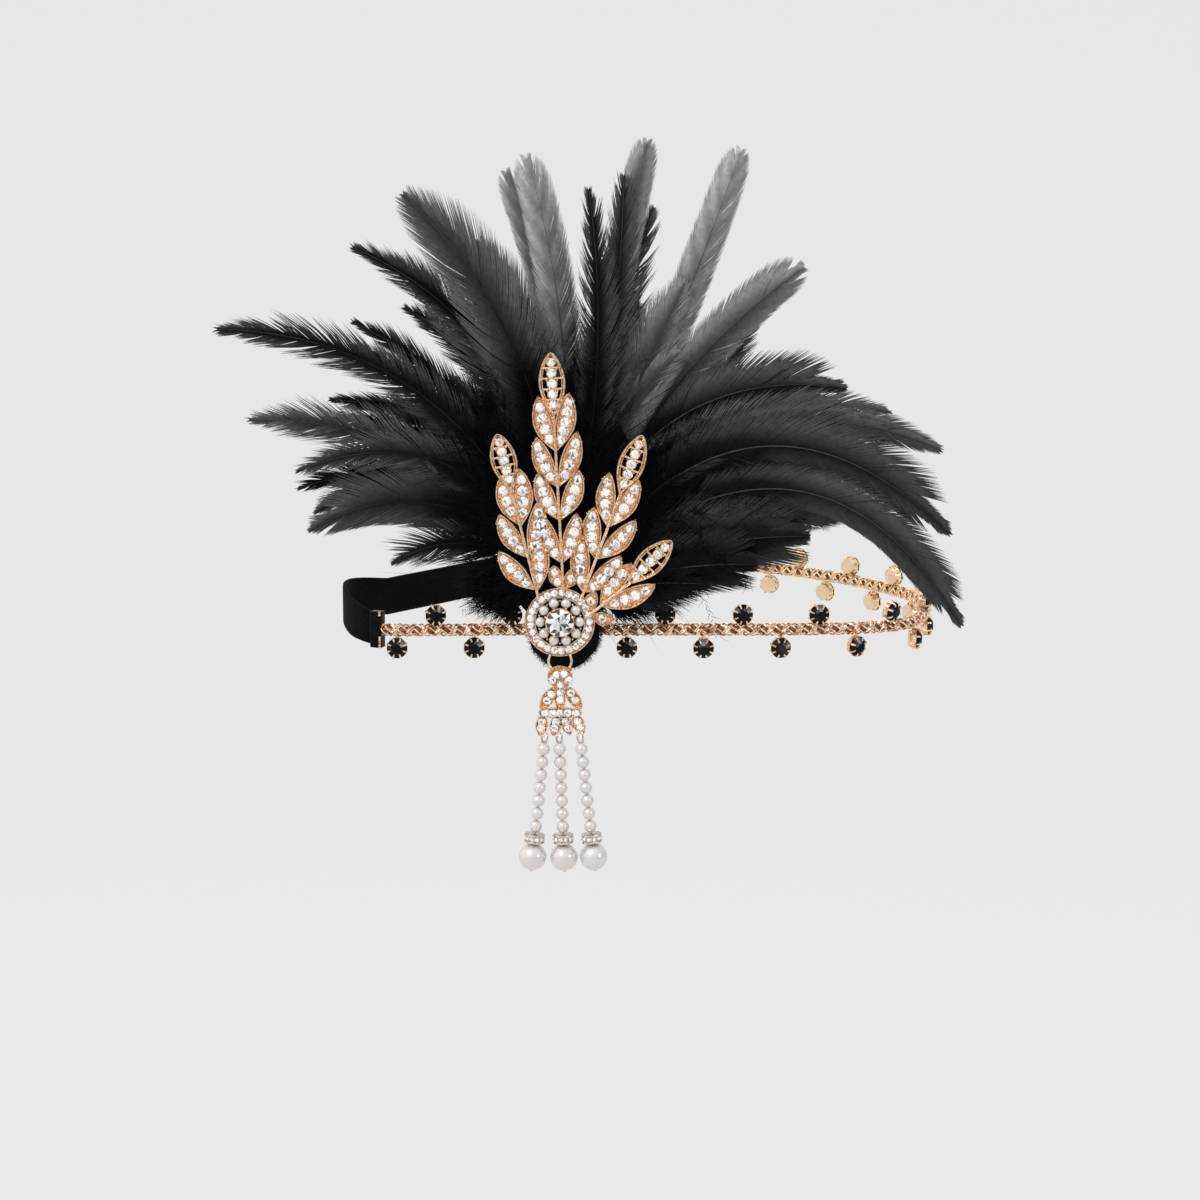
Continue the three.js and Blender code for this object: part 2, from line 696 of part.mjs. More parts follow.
const capStones = [
  { across: -0.05, down: 0.11 },
  { across: 0.058, down: 0.09 },
  { across: -0.11, down: 0.185 },
  { across: 0.122, down: 0.185 },
  { across: 0.008, down: 0.25 },
  { across: 0.005, down: 0.36 },
  { across: 0.005, down: 0.47 },
  { across: -0.127, down: 0.39 },
  { across: -0.188, down: 0.485 },
  { across: 0.155, down: 0.37 },
  { across: 0.215, down: 0.47 },
  { across: -0.21, down: 0.66 },
  { across: -0.105, down: 0.665 },
  { across: 0.0, down: 0.66 },
  { across: 0.11, down: 0.66 },
  { across: 0.226, down: 0.66 },
  { across: -0.23, down: 0.8 },
  { across: -0.265, down: 0.885 },
  { across: -0.105, down: 0.8 },
  { across: -0.12, down: 0.9 },
  { across: 0.083, down: 0.8 },
  { across: 0.116, down: 0.88 },
  { across: 0.25, down: 0.775 },
  { across: 0.3, down: 0.865 }
];
let cap = solidOf(plate(capOutline, capThickness, 1));
for (const { across, down } of capStones) {
  const stone = cutStone(capLength * 0.046, 0.65)
    .translate(across * capLength, -down * capLength, capThickness);
  cap = cap.add(solidOf(stone));
}

// Strands: where each hangs from the cap and how far its large pearl stands aside.
const strands = [
  { top: -0.215, foot: -0.4 },
  { top: -0.015, foot: 0.05 },
  { top: 0.28, foot: 0.48 }
];
const eyeDown = 0.965;
for (const { top } of strands) {
  const tab = turned([[0, 0], [1.35, 0], [1.35, capThickness], [0, capThickness]], 10)
    .translate(top * capLength, -eyeDown * capLength, 0);
  const hole = turned([[0, -1], [lugHole / 2, -1], [lugHole / 2, 3], [0, 3]], 10)
    .translate(top * capLength, -eyeDown * capLength, 0);
  cap = cap.add(solidOf(tab)).subtract(solidOf(hole));
}
const capToFront = new THREE.Matrix4().makeRotationX(Math.PI / 2).setPosition(medallionX, capBackY, capTopZ);
cap = cap.transform(capToFront.elements).add(eye(medallionX, ringY, ringZ - ringRadius));
place('drop_cap', geometryOf(cap), roseGold);

const strandY = capBackY - capThickness / 2;
const eyeZ = capTopZ - eyeDown * capLength;
const eyeReach = 1.2;
const beadsTop = eyeZ - 2 * eyeReach - 0.2;
const beadsRun = smallPearlPitch * smallPearlCount;
const rondelleDown = beadsRun + rondelleHeight / 2 + fitGap;
const largeDown = rondelleDown + rondelleHeight / 2 + fitGap + largePearlDiameter / 2;
const footDown = largeDown + largePearlDiameter / 2 + fitGap;

function rod(radius, from, to, sides) {
  return turned([[0, -to], [radius, -to], [radius, -from], [0, -from]], sides);
}

strands.forEach(({ top, foot }, i) => {
  const x = medallionX + top * capLength;
  const lean = Math.atan2((foot - top) * capLength, largeDown + 2 * eyeReach);
  const hang = geometry => geometry.rotateY(-lean).translate(x, strandY, eyeZ);
  const down = eyeZ - beadsTop;
  const eyeRing = new THREE.TorusGeometry(eyeReach, strandWire / 2, 5, 10)
    .rotateY(Math.PI / 2)
    .translate(0, 0, -eyeReach);
  const profile = [[0, -down - footDown - 0.5], [strandWire * 1.1, -down - footDown - 0.5]];
  profile.push([strandWire * 1.1, -down - footDown], [strandWire / 2, -down - footDown]);
  for (let k = smallPearlCount - 1; k >= 0; k--) {
    const middle = -down - (k + 0.5) * smallPearlPitch;
    profile.push([strandWire / 2, middle - smallPearlPitch / 2]);
    profile.push([smallPearlDiameter * 0.38, middle - smallPearlDiameter * 0.33]);
    profile.push([smallPearlDiameter * 0.5, middle]);
    profile.push([smallPearlDiameter * 0.38, middle + smallPearlDiameter * 0.33]);
  }
  profile.push([strandWire / 2, -down], [strandWire / 2, -down + 0.5], [0, -down + 0.5]);
  place(`pearl_strand_${i + 1}`, hang(geometryOf(fused([turned(profile, 10), eyeRing]))), pearl);

  const bore = rod(strandWire / 2 + fitGap, 0, down + footDown + largePearlDiameter, 6);
  const half = rondelleHeight / 2;
  const rondelle = turned([
    [0, -half],
    [rondelleDiameter * 0.43, -half],
    [rondelleDiameter / 2, -half * 0.6],
    [rondelleDiameter / 2, half * 0.6],
    [rondelleDiameter * 0.43, half],
    [0, half]
  ], 12).translate(0, 0, -down - rondelleDown);
  place(`rondelle_${i + 1}`, hang(geometryOf(solidOf(rondelle).subtract(solidOf(bore)))), silver);

  const large = new THREE.SphereGeometry(largePearlDiameter / 2, 14, 8).rotateX(Math.PI / 2)
    .translate(0, 0, -down - largeDown);
  place(`large_pearl_${i + 1}`, hang(geometryOf(solidOf(large).subtract(solidOf(bore)))), pearl);
});

export default group;
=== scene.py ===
import math
import bmesh
import bpy
import numpy as np
from mathutils import Matrix, Vector


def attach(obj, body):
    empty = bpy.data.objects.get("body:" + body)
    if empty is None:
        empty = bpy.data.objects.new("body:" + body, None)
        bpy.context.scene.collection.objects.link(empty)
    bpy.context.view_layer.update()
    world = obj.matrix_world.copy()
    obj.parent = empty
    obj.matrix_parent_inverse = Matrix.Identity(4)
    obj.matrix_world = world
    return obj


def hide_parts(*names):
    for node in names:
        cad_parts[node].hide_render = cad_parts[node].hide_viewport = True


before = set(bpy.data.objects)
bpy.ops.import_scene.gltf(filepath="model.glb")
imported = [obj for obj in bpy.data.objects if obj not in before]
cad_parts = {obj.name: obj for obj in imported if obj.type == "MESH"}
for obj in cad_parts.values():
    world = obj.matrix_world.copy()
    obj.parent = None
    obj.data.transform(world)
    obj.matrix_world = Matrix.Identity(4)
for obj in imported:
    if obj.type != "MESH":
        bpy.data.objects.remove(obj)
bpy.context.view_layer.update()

mm = 0.001  # the piece dictionaries are in millimetres, the scene is in metres
chance = np.random.default_rng(71)
bpy.ops.object.select_all(action="DESELECT")


# Edit-mode helpers

def picked(obj):
    bpy.ops.object.select_all(action="DESELECT")
    obj.select_set(True)
    bpy.context.view_layer.objects.active = obj


def editStart(obj, level="FACE"):
    picked(obj)
    bpy.ops.object.mode_set(mode="EDIT")
    bpy.ops.mesh.select_mode(type=level)


def editEnd():
    bpy.ops.object.mode_set(mode="OBJECT")


cube, cone = bpy.ops.mesh.primitive_cube_add, bpy.ops.mesh.primitive_cone_add
circle, plane = bpy.ops.mesh.primitive_circle_add, bpy.ops.mesh.primitive_plane_add
cylinder, torus = bpy.ops.mesh.primitive_cylinder_add, bpy.ops.mesh.primitive_torus_add
sphere, icoSphere = bpy.ops.mesh.primitive_uv_sphere_add, bpy.ops.mesh.primitive_ico_sphere_add


def placed(primitive, **settings):
    primitive(**settings)
    bpy.ops.object.transform_apply(location=True, rotation=True, scale=False)
    return bpy.context.object


def started(primitive, level="FACE", **settings):
    # a primitive in its place, open for editing
    obj = placed(primitive, **settings)
    editStart(obj, level)
    return obj


def pickAll():
    bpy.ops.mesh.select_all(action="SELECT")


def faceOut():
    pickAll()
    bpy.ops.mesh.normals_make_consistent(inside=False)


def pickFaces(test):
    # test gets a face's centre and normal
    obj = bpy.context.edit_object
    bpy.ops.mesh.select_all(action="DESELECT")
    mesh = bmesh.from_edit_mesh(obj.data)
    for face in mesh.faces:
        face.select_set(bool(test(face.calc_center_median(), face.normal)))
    bmesh.update_edit_mesh(obj.data)


def push(x, y, z):
    bpy.ops.mesh.extrude_region_move(TRANSFORM_OT_translate={"value": (x, y, z)})


def inset(thickness, depth=0):
    bpy.ops.mesh.inset(thickness=thickness, depth=depth, use_even_offset=True)


def grow(x, y, z, centre=(0, 0, 0)):
    bpy.ops.transform.resize(value=(x, y, z), center_override=centre)


def growAll(x, y, z, centre=(0, 0, 0)):
    pickAll()
    grow(x, y, z, centre)


def shift(x, y, z):
    bpy.ops.transform.translate(value=(x, y, z))


def applied(obj, kind, **settings):
    picked(obj)
    modifier = obj.modifiers.new("shape", kind)
    for key, value in settings.items():
        setattr(modifier, key, value)
    bpy.ops.object.modifier_apply(modifier=modifier.name)
    return obj


# A blank is a small shape modelled once, as arrays in millimetres, for copying.

def blankFrom(obj, smooth=False, paint=0):
    if smooth:
        picked(obj)
        bpy.ops.object.shade_smooth()
    mesh = obj.data
    mesh.calc_loop_triangles()
    blank = {
        "points": np.array([v.co[:] for v in mesh.vertices]),
        "corners": np.array([t.vertices[:] for t in mesh.loop_triangles]),
        "paint": np.full(len(mesh.loop_triangles), paint),
        "smooth": np.full(len(mesh.loop_triangles), smooth),
        "facet": np.array([t.polygon_index for t in mesh.loop_triangles]),
    }
    bpy.data.objects.remove(obj)
    return blank


def finished(obj, smooth=False, paint=0):
    editEnd()
    return blankFrom(obj, smooth, paint)


def blankOf(points, corners, paint=0, smooth=False):
    return {
        "points": np.array(points, float),
        "corners": np.array(corners),
        "paint": np.full(len(corners), paint),
        "smooth": np.full(len(corners), smooth),
        "facet": np.arange(len(corners)),
    }


def merged(*blanks):
    offset = 0
    facets = 0
    made = {key: [] for key in ("points", "corners", "paint", "smooth", "facet")}
    for blank in blanks:
        made["points"].append(blank["points"])
        made["corners"].append(blank["corners"] + offset)
        made["paint"].append(blank["paint"])
        made["smooth"].append(blank["smooth"])
        made["facet"].append(blank["facet"] + facets)
        offset += len(blank["points"])
        facets += int(blank["facet"].max()) + 1
    return {key: np.concatenate(parts) for key, parts in made.items()}


def moved(blank, matrix):
    turn = np.array(matrix.to_3x3())
    place = np.array(matrix.to_translation())
    points = blank["points"] @ turn.T + place
    corners = blank["corners"]
    if np.linalg.det(turn) < 0:
        corners = corners[:, ::-1]
    return {**blank, "points": points, "corners": corners}


def repainted(blank, paint):
    return {**blank, "paint": np.full(len(blank["corners"]), paint)}


def around(blank, count, start=0.0):
    turned = []
    for i in range(count):
        turned.append(moved(blank, spun(start + 2 * math.pi * i / count)))
    return merged(*turned)


def spun(angle, axis="Z"):
    return Matrix.Rotation(angle, 4, axis)


def at(x, y, z):
    return Matrix.Translation((x, y, z))


def scaled(x, y, z):
    return Matrix.Diagonal((x, y, z, 1))


def axesAt(right, up, out, place):
    matrix = Matrix((right, up, out)).transposed().to_4x4()
    matrix.translation = place
    return matrix


def shown(name, data):
    obj = bpy.data.objects.new(name, data)
    bpy.context.scene.collection.objects.link(obj)
    return obj


def meshOf(name, points, corners, smooth, paint):
    # triangles in millimetres to a mesh in metres
    mesh = bpy.data.meshes.new(name)
    count = len(corners)
    mesh.vertices.add(len(points))
    mesh.vertices.foreach_set("co", (points * mm).astype(np.float32).ravel())
    mesh.loops.add(count * 3)
    mesh.loops.foreach_set("vertex_index", corners.astype(np.int32).ravel())
    mesh.polygons.add(count)
    mesh.polygons.foreach_set("loop_start", np.arange(0, count * 3, 3, dtype=np.int32))
    mesh.polygons.foreach_set("material_index", paint.astype(np.int32))
    mesh.polygons.foreach_set("use_smooth", smooth.astype(bool))
    mesh.update(calc_edges=True)
    return mesh


def pieceFrom(name, blanks, materials, body, replaced=(), paintedGlints=False, split=None):
    # one mesh in place; the facet values give every facet its own painted brightness, painted reflections on
    # the stones' facets
    blank = merged(*blanks)
    mesh = meshOf(name, blank["points"], blank["corners"], blank["smooth"], blank["paint"])
    if split:
        mesh.set_sharp_from_angle(angle=math.radians(split))
    if paintedGlints is not False:
        values = chance.random(int(blank["facet"].max()) + 1) if paintedGlints is True else np.array(paintedGlints)
        bright = values[blank["facet"]]
        mesh.attributes.new("facet", "FLOAT", "FACE").data.foreach_set(
            "value", bright.astype(np.float32))
    return ready(shown(name, mesh), materials, body, replaced)


def ready(obj, materials, body, replaced=()):
    for material in materials:
        obj.data.materials.append(material)
    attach(obj, body)
    if replaced:
        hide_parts(*replaced)
    return obj


# Materials

def newMaterial(name):
    material = bpy.data.materials.new(name)
    material.use_nodes = True
    return material, material.node_tree, material.node_tree.nodes["Principled BSDF"]


def setInputs(node, values):
    for key, value in values.items():
        node.inputs[key].default_value = value


def wired(source, output, target, entry):
    target.id_data.links.new(source.outputs[output], target.inputs[entry])


def noiseNode(tree, scale, detail, kind="ShaderNodeTexNoise"):
    where = tree.nodes.new("ShaderNodeTexCoord")
    noise = tree.nodes.new(kind)
    noise.inputs["Scale"].default_value = scale
    if "Detail" in noise.inputs:
        noise.inputs["Detail"].default_value = detail
    wired(where, "Object", noise, "Vector")
    return noise


def rampNode(tree, source, stops, kind="LINEAR"):
    ramp = tree.nodes.new("ShaderNodeValToRGB")
    ramp.color_ramp.interpolation = kind
    elements = ramp.color_ramp.elements
    while len(elements) < len(stops):
        elements.new(0.5)
    for element, (place, colour) in zip(elements, stops):
        element.position = place
        element.color = (*colour, 1) if len(colour) == 3 else colour
    tree.links.new(source, ramp.inputs["Fac"])
    return ramp


def rangeNode(tree, source, low, high, fromLow=0.3, fromHigh=0.7):
    node = tree.nodes.new("ShaderNodeMapRange")
    setInputs(node, {"From Min": fromLow, "From Max": fromHigh, "To Min": low, "To Max": high})
    tree.links.new(source, node.inputs["Value"])
    return node


def bumpNode(tree, shader, source, strength, distance):
    bump = tree.nodes.new("ShaderNodeBump")
    setInputs(bump, {"Strength": strength, "Distance": distance})
    tree.links.new(source, bump.inputs["Height"])
    wired(bump, "Normal", shader, "Normal")


def goldMaterial(name, look):
    material, tree, shader = newMaterial(name)
    shader.inputs["Metallic"].default_value = look["metallic"]
    noise = noiseNode(tree, look["scale"], 4)
    ramp = rampNode(tree, noise.outputs["Fac"],
                    [(0.3, look["dark"]), (0.55, look["colour"]), (0.75, look["light"])])
    wired(ramp, "Color", shader, "Base Color")
    if "rear" in look:
        # the gold turns yellower towards the back of the head
        parts = tree.nodes.new("ShaderNodeSeparateXYZ")
        tree.links.new(tree.nodes["Texture Coordinate"].outputs["Object"], parts.inputs["Vector"])
        depth = rangeNode(tree, parts.outputs["Y"], 0, 1, -0.05, 0.01)
        mix = tree.nodes.new("ShaderNodeMix")
        mix.data_type = "RGBA"
        wired(depth, "Result", mix, "Factor")
        wired(ramp, "Color", mix, "A")
        mix.inputs["B"].default_value = (*look["rear"], 1)
        wired(mix, "Result", shader, "Base Color")
    rough = rangeNode(tree, noise.outputs["Fac"], look["rough"] + 0.1, look["rough"])
    wired(rough, "Result", shader, "Roughness")
    grain = noiseNode(tree, look["grain"], 2, "ShaderNodeTexVoronoi" if look["beaded"]
                      else "ShaderNodeTexNoise")
    height = grain.outputs["Distance"] if look["beaded"] else grain.outputs["Fac"]
    bumpNode(tree, shader, height, look["bump"], 0.0002)
    return material


roseGold = goldMaterial("roseGold", {
    "colour": (1.0, 0.74, 0.50), "dark": (0.60, 0.26, 0.09), "light": (1.0, 0.94, 0.82),
    "metallic": 1.0, "rough": 0.1, "scale": 1500, "grain": 2500, "bump": 0.12, "beaded": False})
# grained by its bump and painted darker: painted shade in the sunk fields between wires and stones
grainAndShadeGold = goldMaterial("grainAndShadeGold", {
    "colour": (0.80, 0.40, 0.17), "dark": (0.22, 0.07, 0.02), "light": (1.0, 0.84, 0.60),
    "metallic": 1.0, "rough": 0.26, "scale": 2600, "grain": 1500, "bump": 1.0, "beaded": True})
chainGold = goldMaterial("chainGold", {
    "colour": (0.94, 0.70, 0.50), "dark": (0.42, 0.16, 0.07), "light": (1.0, 0.94, 0.84),
    "rear": (0.95, 0.70, 0.44),
    "metallic": 1.0, "rough": 0.2, "scale": 700, "grain": 2500, "bump": 0.12, "beaded": False})
# painted shade: a dark brown for the tube inside the rope chain, in place of the shade between the links
paintedShadeGold = goldMaterial("paintedShadeGold", {
    "colour": (0.30, 0.12, 0.05), "dark": (0.12, 0.045, 0.02), "light": (0.45, 0.16, 0.06),
    "metallic": 0.6, "rough": 0.5, "scale": 900, "grain": 2500, "bump": 0.2, "beaded": False})
paleGold = goldMaterial("paleGold", {
    "colour": (1.0, 0.78, 0.52), "dark": (0.96, 0.70, 0.44), "light": (1.0, 0.86, 0.64),
    "metallic": 0.0, "rough": 0.4, "scale": 500, "grain": 1800, "bump": 0.1, "beaded": False})
silver = goldMaterial("silver", {
    "colour": (0.60, 0.60, 0.62), "dark": (0.38, 0.38, 0.40), "light": (0.78, 0.78, 0.80),
    "metallic": 1.0, "rough": 0.24, "scale": 900, "grain": 2500, "bump": 0.1, "beaded": False})


def stoneMaterial(name, stops, metallic, rough, coat, ior=1.6):
    material, tree, shader = newMaterial(name)
    setInputs(shader, {"Metallic": metallic, "Roughness": rough, "Coat Weight": coat,
                       "Coat Roughness": 0.02, "IOR": ior})
    # the base colour is chosen per facet: painted reflections, each facet painted its own brightness from
    # dark to white
    facet = tree.nodes.new("ShaderNodeAttribute")
    facet.attribute_name = "facet"
    ramp = rampNode(tree, facet.outputs["Fac"], stops)
    wired(ramp, "Color", shader, "Base Color")
    return material


clearStone = stoneMaterial("clearStone", [
    (0.0, (0.10, 0.09, 0.09)), (0.12, (0.38, 0.37, 0.37)), (0.32, (0.76, 0.76, 0.77)),
    (0.6, (1.0, 1.0, 1.0)), (1.0, (0.98, 0.90, 0.84))], 0.12, 0.06, 1.0)
brightStone = stoneMaterial("brightStone", [
    (0.0, (0.012, 0.012, 0.014)), (0.36, (0.06, 0.06, 0.07)), (0.42, (0.55, 0.56, 0.58)),
    (0.6, (0.95, 0.95, 0.97)), (1.0, (0.98, 0.98, 1.0))], 0.45, 0.05, 1.0)
blackStone = stoneMaterial("blackStone", [
    (0.0, (0.003, 0.003, 0.0035)), (0.72, (0.008, 0.008, 0.009)), (0.86, (0.05, 0.05, 0.056)),
    (1.0, (0.26, 0.26, 0.28))], 0.0, 0.08, 0.0, 1.18)

blackEnamel = goldMaterial("blackEnamel", {
    "colour": (0.005, 0.005, 0.005), "dark": (0.003, 0.003, 0.003), "light": (0.012, 0.012, 0.013),
    "metallic": 0.9, "rough": 0.3, "scale": 900, "grain": 2500, "bump": 0.1, "beaded": False})

pearl, pearlTree, pearlShader = newMaterial("pearl")
setInputs(pearlShader, {"Roughness": 0.24, "Metallic": 0.4, "Coat Weight": 0.6, "Coat Roughness": 0.15})
pearlNoise = noiseNode(pearlTree, 160, 2)
pearlRamp = rampNode(pearlTree, pearlNoise.outputs["Fac"], [
    (0.3, (0.68, 0.64, 0.61)), (0.5, (0.71, 0.67, 0.65)), (0.7, (0.70, 0.68, 0.69))])
wired(pearlRamp, "Color", pearlShader, "Base Color")


def clothMaterial(name, dark, light, rough, scale, bump):
    material, tree, shader = newMaterial(name)
    setInputs(shader, {"Roughness": rough, "Specular IOR Level": 0.05})
    noise = noiseNode(tree, scale, 6)
    ramp = rampNode(tree, noise.outputs["Fac"], [(0.3, dark), (0.7, light)])
    wired(ramp, "Color", shader, "Base Color")
    bumpNode(tree, shader, noise.outputs["Fac"], bump, 0.0003)
    return material


blackElastic = clothMaterial("blackElastic", (0.0018, 0.0018, 0.0019), (0.0045, 0.0045, 0.0047), 0.8,
                             900, 0.5)
blackFelt = clothMaterial("blackFelt", (0.002, 0.002, 0.002), (0.010, 0.0095, 0.0095), 0.9, 1600, 0.9)


def featherMaterial(name, stops, rough):
    # the tone attribute runs from the black root fluff to the paler, thinner tips; the paler tips are partly
    # the feathers' own grey and partly painted light, the light that shines through the thin barbs
    material, tree, shader = newMaterial(name)
    setInputs(shader, {"Roughness": rough, "Specular IOR Level": 0.05})
    tone = tree.nodes.new("ShaderNodeAttribute")
    tone.attribute_name = "tone"
    ramp = rampNode(tree, tone.outputs["Fac"], stops)
    noise = noiseNode(tree, 700, 3)
    shade = rampNode(tree, noise.outputs["Fac"], [(0.3, (0.72, 0.72, 0.72)), (0.7, (1.0, 1.0, 1.0))])
    mix = tree.nodes.new("ShaderNodeMix")
    mix.data_type = "RGBA"
    mix.blend_type = "MULTIPLY"
    mix.inputs["Factor"].default_value = 1.0
    wired(ramp, "Color", mix, "A")
    wired(shade, "Color", mix, "B")
    wired(mix, "Result", shader, "Base Color")
    return material


blackFeather = featherMaterial("blackFeather", [
    (0.0, (0.003, 0.003, 0.003)), (0.28, (0.013, 0.013, 0.013)), (0.5, (0.15, 0.15, 0.151)),
    (1.0, (0.92, 0.92, 0.925))], 0.6)
print("materials ready")


# Camera, backdrop and lights

view = {
    "aim": (-10.6, -59, 8.6), "distance": 900, "elevation": 10, "lens": 94.07, "sensor": 36,
    "floorZ": -420, "wallY": 2600, "sweepRadius": 900, "halfWidth": 4200, "frontY": -2200,
}
elevation = math.radians(view["elevation"])
aim = Vector(view["aim"]) * mm
lookBack = Vector((0, -math.cos(elevation), math.sin(elevation)))
camera = shown("camera", bpy.data.cameras.new("camera"))
camera.data.lens = view["lens"]
camera.data.sensor_width = view["sensor"]
camera.location = aim + lookBack * view["distance"] * mm
camera.rotation_euler = (-lookBack).to_track_quat("-Z", "Y").to_euler()
bpy.context.scene.camera = camera
bpy.context.scene.view_settings.view_transform = "Standard"

studio = {
    "paper": (0.2, 0.2, 0.2), "paperGlow": 0.6, "worldLow": 0.15, "worldMiddle": 0.72, "worldHigh": 1.05,
    "worldLeft": 1.3, "worldRight": 0.7,
    "lights": [  # name, place, aim, size, power
        ("keyLight", (-0.8, -1.2, 1.2), (0, -0.05, 0.03), 0.5, 10),
        ("fillLight", (1.2, -1.0, 0.4), (0, -0.05, 0.03), 0.5, 2.0),
        ("topLight", (0.1, 0.3, 1.4), (0, 0, 0), 0.9, 2.5),
    ],
}


def sweepBackdrop():
    sheet = placed(plane, size=1)
    sheet.name = "backdrop"
    editStart(sheet, "VERT")
    bpy.ops.mesh.delete(type="ONLY_FACE")
    editEnd()
    radius = view["sweepRadius"]
    bend = [(view["wallY"] - radius + radius * math.sin(a), view["floorZ"] + radius - radius * math.cos(a))
            for a in np.linspace(0, math.pi / 2, 24)]
    profile = [(view["frontY"], view["floorZ"]), *bend, (view["wallY"], view["floorZ"] + 3800)]
    points = [(side * view["halfWidth"] * mm, y * mm, z * mm) for y, z in profile for side in (-1, 1)]
    faces = [(2 * i, 2 * i + 1, 2 * i + 3, 2 * i + 2) for i in range(len(profile) - 1)]
    mesh = bpy.data.meshes.new("backdrop")
    mesh.from_pydata(points, [], faces)
    mesh.shade_smooth()
    sheet.data = mesh
    paper, tree, shader = newMaterial("paper")
    setInputs(shader, {"Base Color": (*studio["paper"], 1), "Roughness": 0.95, "Specular IOR Level": 0.0,
                       "Emission Color": (1, 1, 1, 1), "Emission Strength": studio["paperGlow"]})
    mesh.materials.append(paper)


sweepBackdrop()
world = bpy.data.worlds.new("studio")
world.use_nodes = True
skyTree = world.node_tree
skyWay = skyTree.nodes.new("ShaderNodeTexCoord")
skyParts = skyTree.nodes.new("ShaderNodeSeparateXYZ")
wired(skyWay, "Generated", skyParts, "Vector")
skyHeight = rangeNode(skyTree, skyParts.outputs["Z"], 0, 1, -1, 1)
skyRamp = rampNode(skyTree, skyHeight.outputs["Result"], [
    (0.25, (studio["worldLow"],) * 3), (0.5, (studio["worldMiddle"],) * 3),
    (0.85, (studio["worldHigh"],) * 3)])
skyTree.links.new(skyRamp.outputs["Color"], skyTree.nodes["Background"].inputs["Color"])
skySide = rangeNode(skyTree, skyParts.outputs["X"], studio["worldLeft"], studio["worldRight"], -1, 1)
skyTree.links.new(skySide.outputs["Result"], skyTree.nodes["Background"].inputs["Strength"])
bpy.context.scene.world = world
for lightName, place, target, size, power in studio["lights"]:
    light = bpy.data.lights.new(lightName, "AREA")
    light.shape = "DISK"
    light.size = size
    light.energy = power
    lamp = shown(lightName, light)
    lamp.location = place
    lamp.rotation_euler = (Vector(target) - Vector(place)).to_track_quat("-Z", "Y").to_euler()
print("camera and lights ready")


# Feather plume. A row is one feather: aim in degrees from the right, reach as a share of
# fullReach, bow as a share of its reach, width as a share of fullWidth, lean away from the
# viewer as a share of its reach, kind and paleness.

plume = {
    "root": (-21.4, -65.95, 12.1), "frontY": -67.3, "reachY": -70, "fullReach": 125, "fullWidth": 15,
    "barbPitch": 0.36, "barbThickness": 0.05, "shaftRadius": 0.42, "shaftEnd": 0.985,
    "vaneSpread": 1.32,   # barbs reach past the frame's stiff blades
    "downEnd": 0.34,      # share of a feather that is fluffy
    "fillers": 30,
}
featherRows = [
    (142.9, 0.99, -0.17, 0.84, 0.02, "comb", 0.30),
    (151.9, 0.82, -0.14, 0.88, 0.08, "comb", 0.45),
    (156.1, 0.67, -0.24, 0.8, 0.02, "comb", 0.35),
    (167.4, 0.6, -0.22, 1.2, 0.06, "smooth", 0.38),
    (164.1, 0.6, -0.3, 1.1, 0.12, "smooth", 0.38),
    (121.8, 0.92, -0.16, 0.75, 0.1, "comb", 0.3),
    (117.8, 0.86, -0.12, 1.0, 0.12, "comb", 0.4),
    (111.9, 0.975, -0.11, 1.25, 0.05, "smooth", 0.46),
    (128.6, 0.78, -0.12, 0.6, 0.15, "comb", 0.25),
    (120, 0.74, -0.14, 0.6, 0.2, "comb", 0.3),
    (131.9, 0.74, -0.12, 0.7, 0.22, "comb", 0.3),
    (141.9, 0.69, -0.18, 0.6, 0.18, "comb", 0.25),
    (94.8, 0.99, -0.05, 0.66, 0.12, "paddle", 0.92),
    (97.9, 0.96, -0.07, 0.6, 0.18, "paddle", 0.85),
    (79.2, 1.04, 0.01, 0.55, 0.1, "paddle", 0.72),
    (86.3, 0.92, -0.05, 0.72, 0.04, "comb", 0.3),
    (81.6, 0.96, -0.03, 0.85, 0.05, "comb", 0.35),
    (76.4, 0.9, 0.02, 0.8, 0.12, "comb", 0.4),
    (68.3, 0.76, 0.02, 0.9, 0.08, "smooth", 0.62),
    (67.8, 1.08, -0.01, 0.6, 0.12, "paddle", 0.88),
    (52.8, 0.92, 0.08, 0.75, 0.14, "paddle", 0.65),
    (53.4, 0.76, 0, 0.6, 0.2, "comb", 0.5),
    (34.3, 0.8, 0.22, 0.95, 0.15, "paddle", 0.36),
    (27.7, 0.86, 0.2, 0.6, 0.1, "comb", 0.45),
    (19.8, 0.93, 0.22, 0.7, 0.04, "smooth", 0.44),
    (104, 0.82, -0.08, 1.0, 0.1, "smooth", 0.5),
    (7.8, 0.9, 0.3, 1.0, 0, "paddle", 0.34),
    (-5.9, 0.925, 0.31, 0.78, 0.01, "paddle", 0.37),
    (18.7, 0.8, 0.19, 1.1, 0.08, "smooth", 0.5),
    (14.1, 0.66, 0.15, 1.2, 0.06, "smooth", 0.4),
    (12, 0.5, 0.14, 1.2, 0.04, "comb", 0.3),
    (172, 0.4, -0.2, 1.15, 0.08, "comb", 0.3),
    (45, 0.62, 0.1, 1.1, 0.25, "comb", 0.45),
    (135, 0.6, -0.1, 1, 0.28, "comb", 0.25),
    (105, 0.72, -0.05, 0.9, 0.25, "comb", 0.25),
    (75, 0.68, 0.03, 0.9, 0.25, "comb", 0.25),
    (18, 0.69, 0.08, 1.3, 0.03, "paddle", 0.28),
    (12.5, 0.58, 0.06, 1.3, 0.02, "paddle", 0.24),
    (8, 0.45, 0.04, 1.15, 0.02, "paddle", 0.16),
    (3, 0.33, 0.03, 1.0, 0.01, "smooth", 0.08),
]


